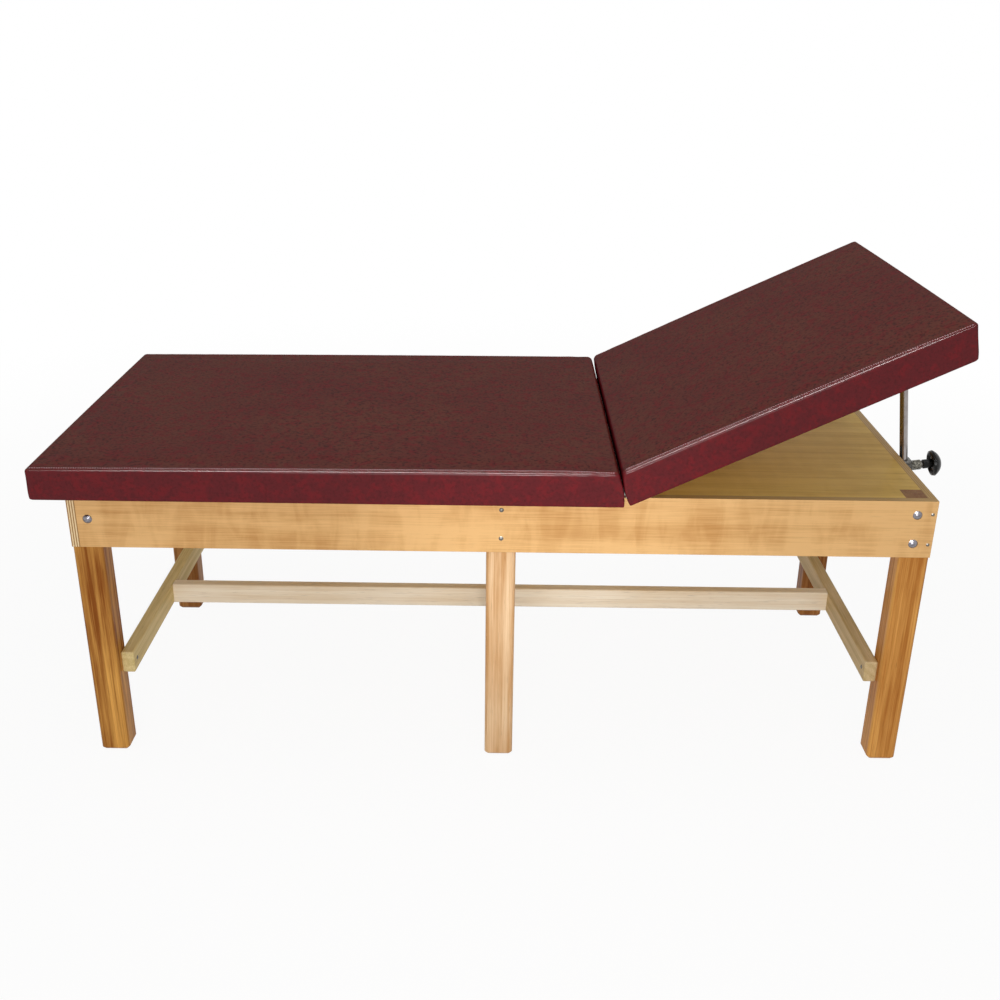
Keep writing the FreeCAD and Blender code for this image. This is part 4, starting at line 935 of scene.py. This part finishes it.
def uneven(place, lengths, seed):
    """Sum of sines of unlike wavelengths in millimetres, from about -1 to 1."""
    waves = [np.sin(place / (length * MM) * 2 * math.pi + seed * (k + 1)) for k, length in enumerate(lengths)]
    return sum(waves) / len(lengths)


def seam_slide(run, side):
    """How far the seam has slid down the roll at a distance from the hinge."""
    length = pads[side]["high"][0]
    if side == "seat":
        return SEAM_SLIDE * (1 - s_curve(run, 5 * MM, 110 * MM))
    return SEAM_SLIDE * s_curve(run, length - 160 * MM, length)


def seam_height(spots, side):
    """Height of the seam's profile: over the lip, down into the groove, and level beyond."""
    high = pads[side]["high"]
    past = (high[2] - spots[:, 2]) - (high[1] - np.abs(spots[:, 1])) - seam_slide(spots[:, 0], side)
    lip = s_curve(past, LIP_START - LIP_EASE, LIP_START) * (1 - s_curve(past, LIP_STOP - MM, LIP_STOP))
    groove = np.exp(-(((past - GROOVE_PLACE) / GROOVE_WIDTH) ** 2))
    upper = s_curve(spots[:, 2], 0.3 * high[2], 0.4 * high[2])
    ends = s_curve(spots[:, 0], 0, 9 * MM) * (1 - s_curve(spots[:, 0], high[0] - 14 * MM, high[0] - 2 * MM))
    swell = 1 + 0.15 * uneven(spots[:, 0], (37, 61, 97), 1.7)
    return (LIP_HEIGHT * lip * swell - GROOVE_DEPTH * groove) * upper * ends


def dent_height(spots, side):
    """Soft dents in the top by the foot end, and puckers in the side bands by the break."""
    high = pads[side]["high"]
    upper = s_curve(spots[:, 2], 0.1 * high[2], 0.8 * high[2])
    near_break = 1 - s_curve(spots[:, 0], 25 * MM, PUCKER_REACH)
    band = s_curve(np.abs(spots[:, 1]), high[1] - 14 * MM, high[1]) * upper
    total = PUCKER_DEPTH * near_break * band * uneven(spots[:, 0] + 0.8 * spots[:, 2], (38, 57, 83), 4.1)
    if side == "seat":
        from_end = high[0] - spots[:, 0]
        on_top = s_curve(spots[:, 2], 0.8 * high[2], high[2]) * s_curve(from_end, 3 * MM, 14 * MM)
        for across, half_width, depth, reach in FOOT_DENTS:
            dip = np.exp(-(((spots[:, 1] / MM - across) / half_width) ** 2))
            total = total - depth * MM * dip * on_top * (1 - s_curve(from_end, 0.4 * reach * MM, reach * MM))
    return total


def pad_surface(spots, side):
    """Finished surface of the pad: its form, pushed out or in by cloth, seam and dents."""
    points, outward = pad_form(spots, side)
    raised = cloth_push(spots, side) + seam_height(spots, side) + dent_height(spots, side)
    return points + outward * raised[:, None]


print("seam and dents ready")

# %% [markdown]
# ## Making the two pads
# The fine block is dense at the seams, the rolled ends and the hinge. Its underside is lifted to the top of
# the board inside a thin rim, so the board stays a piece of its own.

# %% Build the pads
NEAR_SEAM = (
    0, 0.7, 1.4, 1.5, 2.4, 3.2, 4.0, 4.8, 5.6, 6.6, 7.6, 8.6, 9.6, 10.4, 11.2, 12.0, 13.5, 17, 23, 31, 40,
)
NEAR_BREAK = (0, 1.2, 1.3, 2.4, 3.8, 5.4, 7.2, 9.2, 11.5, 14.5, 19, 26, 35)
NEAR_END = (0, 0.7, 1.4, 1.5, 2.6, 4.0, 5.6, 7.4, 9.2, 11.5, 14.5, 19, 26, 35)
BELOW_TOP = (0, 0.6, 1.2, 1.8, 2.4, 3.2, 4.2, 5.2, 6.4, 7.6, 8.8, 10.5, 13, 17, 23)
ABOVE_BOTTOM = (0, 0.8, 1.8, 3.2, 6, 10, 13, 15, 16.6, 18.2, 19.8, 21.4, 23, 24.6, 27, 30)
BREAK_RIM_ROWS, RIM_ROWS = 2, 3
LENGTH_PITCH, WIDTH_PITCH, HEIGHT_PITCH = 6.5, 9, 6
CEILING_HEIGHT = 0.3 * MM


def build_pad(side):
    """The pad's closed surface on graded grids, with its underside lifted to the board inside a thin rim."""
    low, high = pads[side]["low"], pads[side]["high"]
    steps = [
        graded(low[0], high[0], NEAR_BREAK, NEAR_END, LENGTH_PITCH),
        graded(low[1], high[1], NEAR_SEAM, NEAR_SEAM, WIDTH_PITCH),
        graded(low[2], high[2], ABOVE_BOTTOM, BELOW_TOP, HEIGHT_PITCH),
    ]
    places, quads, spots = block_points(steps)
    points = pad_surface(spots, side)
    before, after = places, places.max(axis=0) - places
    inside = (before[:, 0] >= BREAK_RIM_ROWS) & (after[:, 0] >= RIM_ROWS)
    inside &= (before[:, 1] >= RIM_ROWS) & (after[:, 1] >= RIM_ROWS)
    points[inside & (before[:, 2] == 0), 2] = CEILING_HEIGHT
    pad = new_piece(side + "_pad", on_table(points, side), quads, vinyl)
    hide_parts(side + "_cover", side + "_foam")
    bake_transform(pad)
    print(side, "pad quads", len(quads))


for side in pads:
    build_pad(side)

# %% [markdown]
# ## Stitches
# The stitching is a row of short, fat threads that dip into the lip at both ends. One thread is a small
# tapered capsule on a grid, and all of them are placed at once by adding so much along, across and up to
# every middle point.

# %% Many small capsules at once
CAPSULE_AROUND, CAPSULE_ALONG, CAPSULE_TAPER = 6, 5, 0.96


def capsules(middles, forward, sideways, upward, half_length, half_width, half_height):
    """Copies of a tapered capsule: round it in one direction, from tip to tip in the other, with the radius a
    half circle's. Returns all points and quads."""
    turn = np.arange(CAPSULE_AROUND) / CAPSULE_AROUND * 2 * math.pi
    reach = np.linspace(-1, 1, CAPSULE_ALONG)
    girth = np.sqrt(np.maximum(1 - (CAPSULE_TAPER * reach) ** 2, 0))[:, None]
    shape = np.stack(
        [
            np.broadcast_to(reach[:, None] * half_length, (CAPSULE_ALONG, CAPSULE_AROUND)),
            girth * np.cos(turn) * half_width,
            girth * np.sin(turn) * half_height,
        ],
        axis=-1,
    ).reshape(-1, 3)
    axes = np.stack([forward, sideways, upward], axis=1)
    points = middles[:, None, :] + np.einsum("pk,nkx->npx", shape, axes)
    walls = tube_quads(CAPSULE_ALONG, CAPSULE_AROUND)[:, ::-1]
    tips = np.array([[0, 1, 2, 3], [0, 3, 4, 5]])
    far_tips = tips[:, ::-1] + (CAPSULE_ALONG - 1) * CAPSULE_AROUND
    quads = np.concatenate([walls, tips, far_tips])
    starts = np.arange(len(middles)) * len(shape)
    return points.reshape(-1, 3), (quads[None] + starts[:, None, None]).reshape(-1, 4)


# %% Sew both long edges of each pad
STITCH_PITCH = 5.0 * MM
STITCH_HALF_LENGTH, STITCH_HALF_WIDTH, STITCH_HALF_HEIGHT = 1.8 * MM, 0.6 * MM, 0.45 * MM
STITCH_FROM_END, STITCH_LIFT = 9 * MM, 0.15 * MM


def edge_spots(run, past, edge, side):
    """Block points on a long edge: past is the distance over it, on the top if negative, else on the band."""
    high = pads[side]["high"]
    across = edge * (high[1] + np.minimum(past, 0))
    return np.stack([run, across, high[2] - np.maximum(past, 0)], axis=1)


def sew(side):
    """Row of stitches on the lip of both long edges, each laid along the surface under it."""
    length = pads[side]["high"][0]
    count = int((length - 2 * STITCH_FROM_END) / STITCH_PITCH)
    run = np.tile(STITCH_FROM_END + (np.arange(count) + 0.5) * STITCH_PITCH, 2)
    edge = np.repeat([-1.0, 1.0], count)
    past = STITCH_PLACE + seam_slide(run, side)
    middles = pad_surface(edge_spots(run, past, edge, side), side)
    ahead = pad_surface(edge_spots(run + STITCH_HALF_LENGTH, past, edge, side), side)
    forward = unit(ahead - middles)
    sideways = (pad_surface(edge_spots(run, past + MM, edge, side), side) - middles) * edge[:, None]
    upward = unit(np.cross(forward, sideways))
    sideways = np.cross(upward, forward)
    middles = middles + upward * STITCH_LIFT
    points, quads = capsules(
        middles, forward, sideways, upward, STITCH_HALF_LENGTH, STITCH_HALF_WIDTH, STITCH_HALF_HEIGHT
    )
    stitching = new_piece(side + "_stitching", on_table(points, side), quads, thread)
    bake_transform(stitching)
    print(side, "stitches", 2 * count)


for side in pads:
    sew(side)

# %% [markdown]
# ## Under the boards
# The vinyl turns in under each board and is stapled there. The turned-in strips are thin plates with a
# slightly uneven inner edge, and the staples are capsules again, in bright wire.

# %% Turned-in strips and staples
RETURN_THICKNESS, RETURN_LIFT = 0.9 * MM, 0.1 * MM
RETURN_START = 8 * MM
RETURN_STEPS, RETURN_ROWS = 60, 4
RIM = 4 * MM
RAIL_ROOM = 0.5 * MM
WAVER = 1.2 * MM
STAPLE_PITCH, STAPLE_FROM_EDGE, STAPLE_START = 42 * MM, 9 * MM, 30 * MM
STAPLE_HALF_SIZES = 5 * MM, 0.6 * MM, 0.35 * MM
BRACKET_HALF_WIDTH = 42 * MM
RETURN_BODY = {"seat": "frame", "back": "backrest"}
rail_edge = -node_points("front_rail")[:, 1].min()
RAIL_REACH = {
    "seat": hinge_point[0] - node_points("foot_end_rail")[:, 0].min(),
    "back": node_points("head_end_rail")[:, 0].max() - hinge_point[0],
}


def return_strip(corner, far_corner, inner):
    """Thin plate between two corners in the pad's frame, whose inner edge wavers along its length."""
    along_axis = 0 if inner[0] == 0 else 1
    counts = (RETURN_STEPS, RETURN_ROWS) if along_axis == 0 else (RETURN_ROWS, RETURN_STEPS)
    steps = [np.linspace(corner[k], far_corner[k], count) for k, count in enumerate(counts)]
    steps.append(np.array([corner[2], far_corner[2]]))
    places, quads, spots = block_points(steps)
    across_axis = 1 - along_axis
    last = places[:, across_axis] == (RETURN_ROWS - 1 if inner[across_axis] > 0 else 0)
    waver = WAVER * (1 + uneven(spots[last, along_axis], (47, 71, 131), 3.0)) / 2
    spots[last, across_axis] -= inner[across_axis] * waver
    return spots, quads


def turn_in(side):
    """Strips along both sides and the free end, and the staples along their inner edges."""
    low, high = pads[side]["low"], pads[side]["high"]
    level = low[2] + RETURN_LIFT
    top = level + RETURN_THICKNESS
    edge, inner = high[1] - RIM, rail_edge + RAIL_ROOM
    end = high[0] - (high[2] - low[2]) * math.tan(END_SLOPE[side]) - END_FULLNESS - RIM
    end_inner = RAIL_REACH[side] + RAIL_ROOM
    rows, faces, total = [], [], 0
    for corner, far_corner, facing in (
        ((RETURN_START, -edge, level), (end, -inner, top), (0, 1)),
        ((RETURN_START, inner, level), (end, edge, top), (0, -1)),
        ((end_inner, MM - inner, level), (end, inner - MM, top), (-1, 0)),
    ):
        spots, quads = return_strip(corner, far_corner, facing)
        rows.append(spots)
        faces.append(quads + total)
        total += len(spots)
    points = on_table(np.concatenate(rows), side)
    strips = new_piece(side + "_cover_returns", points, np.concatenate(faces), vinyl, smooth=False)
    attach(strips, RETURN_BODY[side])

    run = np.arange(STAPLE_START, end_inner, STAPLE_PITCH)
    row = inner + STAPLE_FROM_EDGE
    sides = np.array([(a, b, level) for b in (-row, row) for a in run])
    wide = np.arange(STAPLE_PITCH - row, row - STAPLE_START, STAPLE_PITCH)
    wide = wide[(np.abs(wide) > BRACKET_HALF_WIDTH) | (side == "seat")]
    ends = np.array([(end_inner + STAPLE_FROM_EDGE, b, level) for b in wide])
    middles = np.concatenate([sides, ends])
    forward = np.concatenate([np.tile([1.0, 0, 0], (len(sides), 1)), np.tile([0, 1.0, 0], (len(ends), 1))])
    upward = np.tile([0, 0, 1.0], (len(middles), 1))
    points, quads = capsules(middles, forward, np.cross(upward, forward), upward, *STAPLE_HALF_SIZES)
    staples = new_piece(side + "_staples", on_table(points, side), quads, staple_wire)
    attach(staples, RETURN_BODY[side])
    print(side, "staples", len(middles))


for side in pads:
    turn_in(side)

# %% [markdown]
# ## Thread on the clamp's boss
# The clamp screw runs out through a coarse threaded boss, which shows beside the knob. A thread is a tube
# whose radius rises and falls once for each turn: a wave that climbs along the axis as the angle goes round.

# %% Wind the thread
THREAD_START, THREAD_STOP = 18.5 * MM, 39.6 * MM
THREAD_PITCH, THREAD_DEPTH, THREAD_ROOT = 3.2 * MM, 1.0 * MM, 11.1 * MM
THREAD_AROUND, THREAD_ROWS = 48, 90


def wind_thread():
    """Radius = root + depth times a wave of (distance / pitch - angle / full turn), faded at both ends."""
    distance = np.linspace(THREAD_START, THREAD_STOP, THREAD_ROWS)[:, None]
    turn = (np.arange(THREAD_AROUND) / THREAD_AROUND * 2 * math.pi)[None]
    wave = 0.5 + 0.5 * np.cos(2 * math.pi * distance / THREAD_PITCH - turn)
    from_tip = np.minimum(distance - THREAD_START, THREAD_STOP - distance)
    radius = THREAD_ROOT + THREAD_DEPTH * s_curve(wave, 0.15, 0.85) * s_curve(from_tip, 0, MM)
    sideways = np.array([0, 1.0, 0])
    upward = np.cross(screw_direction, sideways)
    points = (
        clamp_point
        + distance[..., None] * screw_direction
        + (radius * np.cos(turn))[..., None] * sideways
        + (radius * np.sin(turn))[..., None] * upward
    ).reshape(-1, 3)
    quads = tube_quads(THREAD_ROWS, THREAD_AROUND)
    piece = new_piece("clamp_boss_thread", points, quads, thread_steel)
    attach(piece, "clamp")
    return len(quads)


print("thread quads", wind_thread())
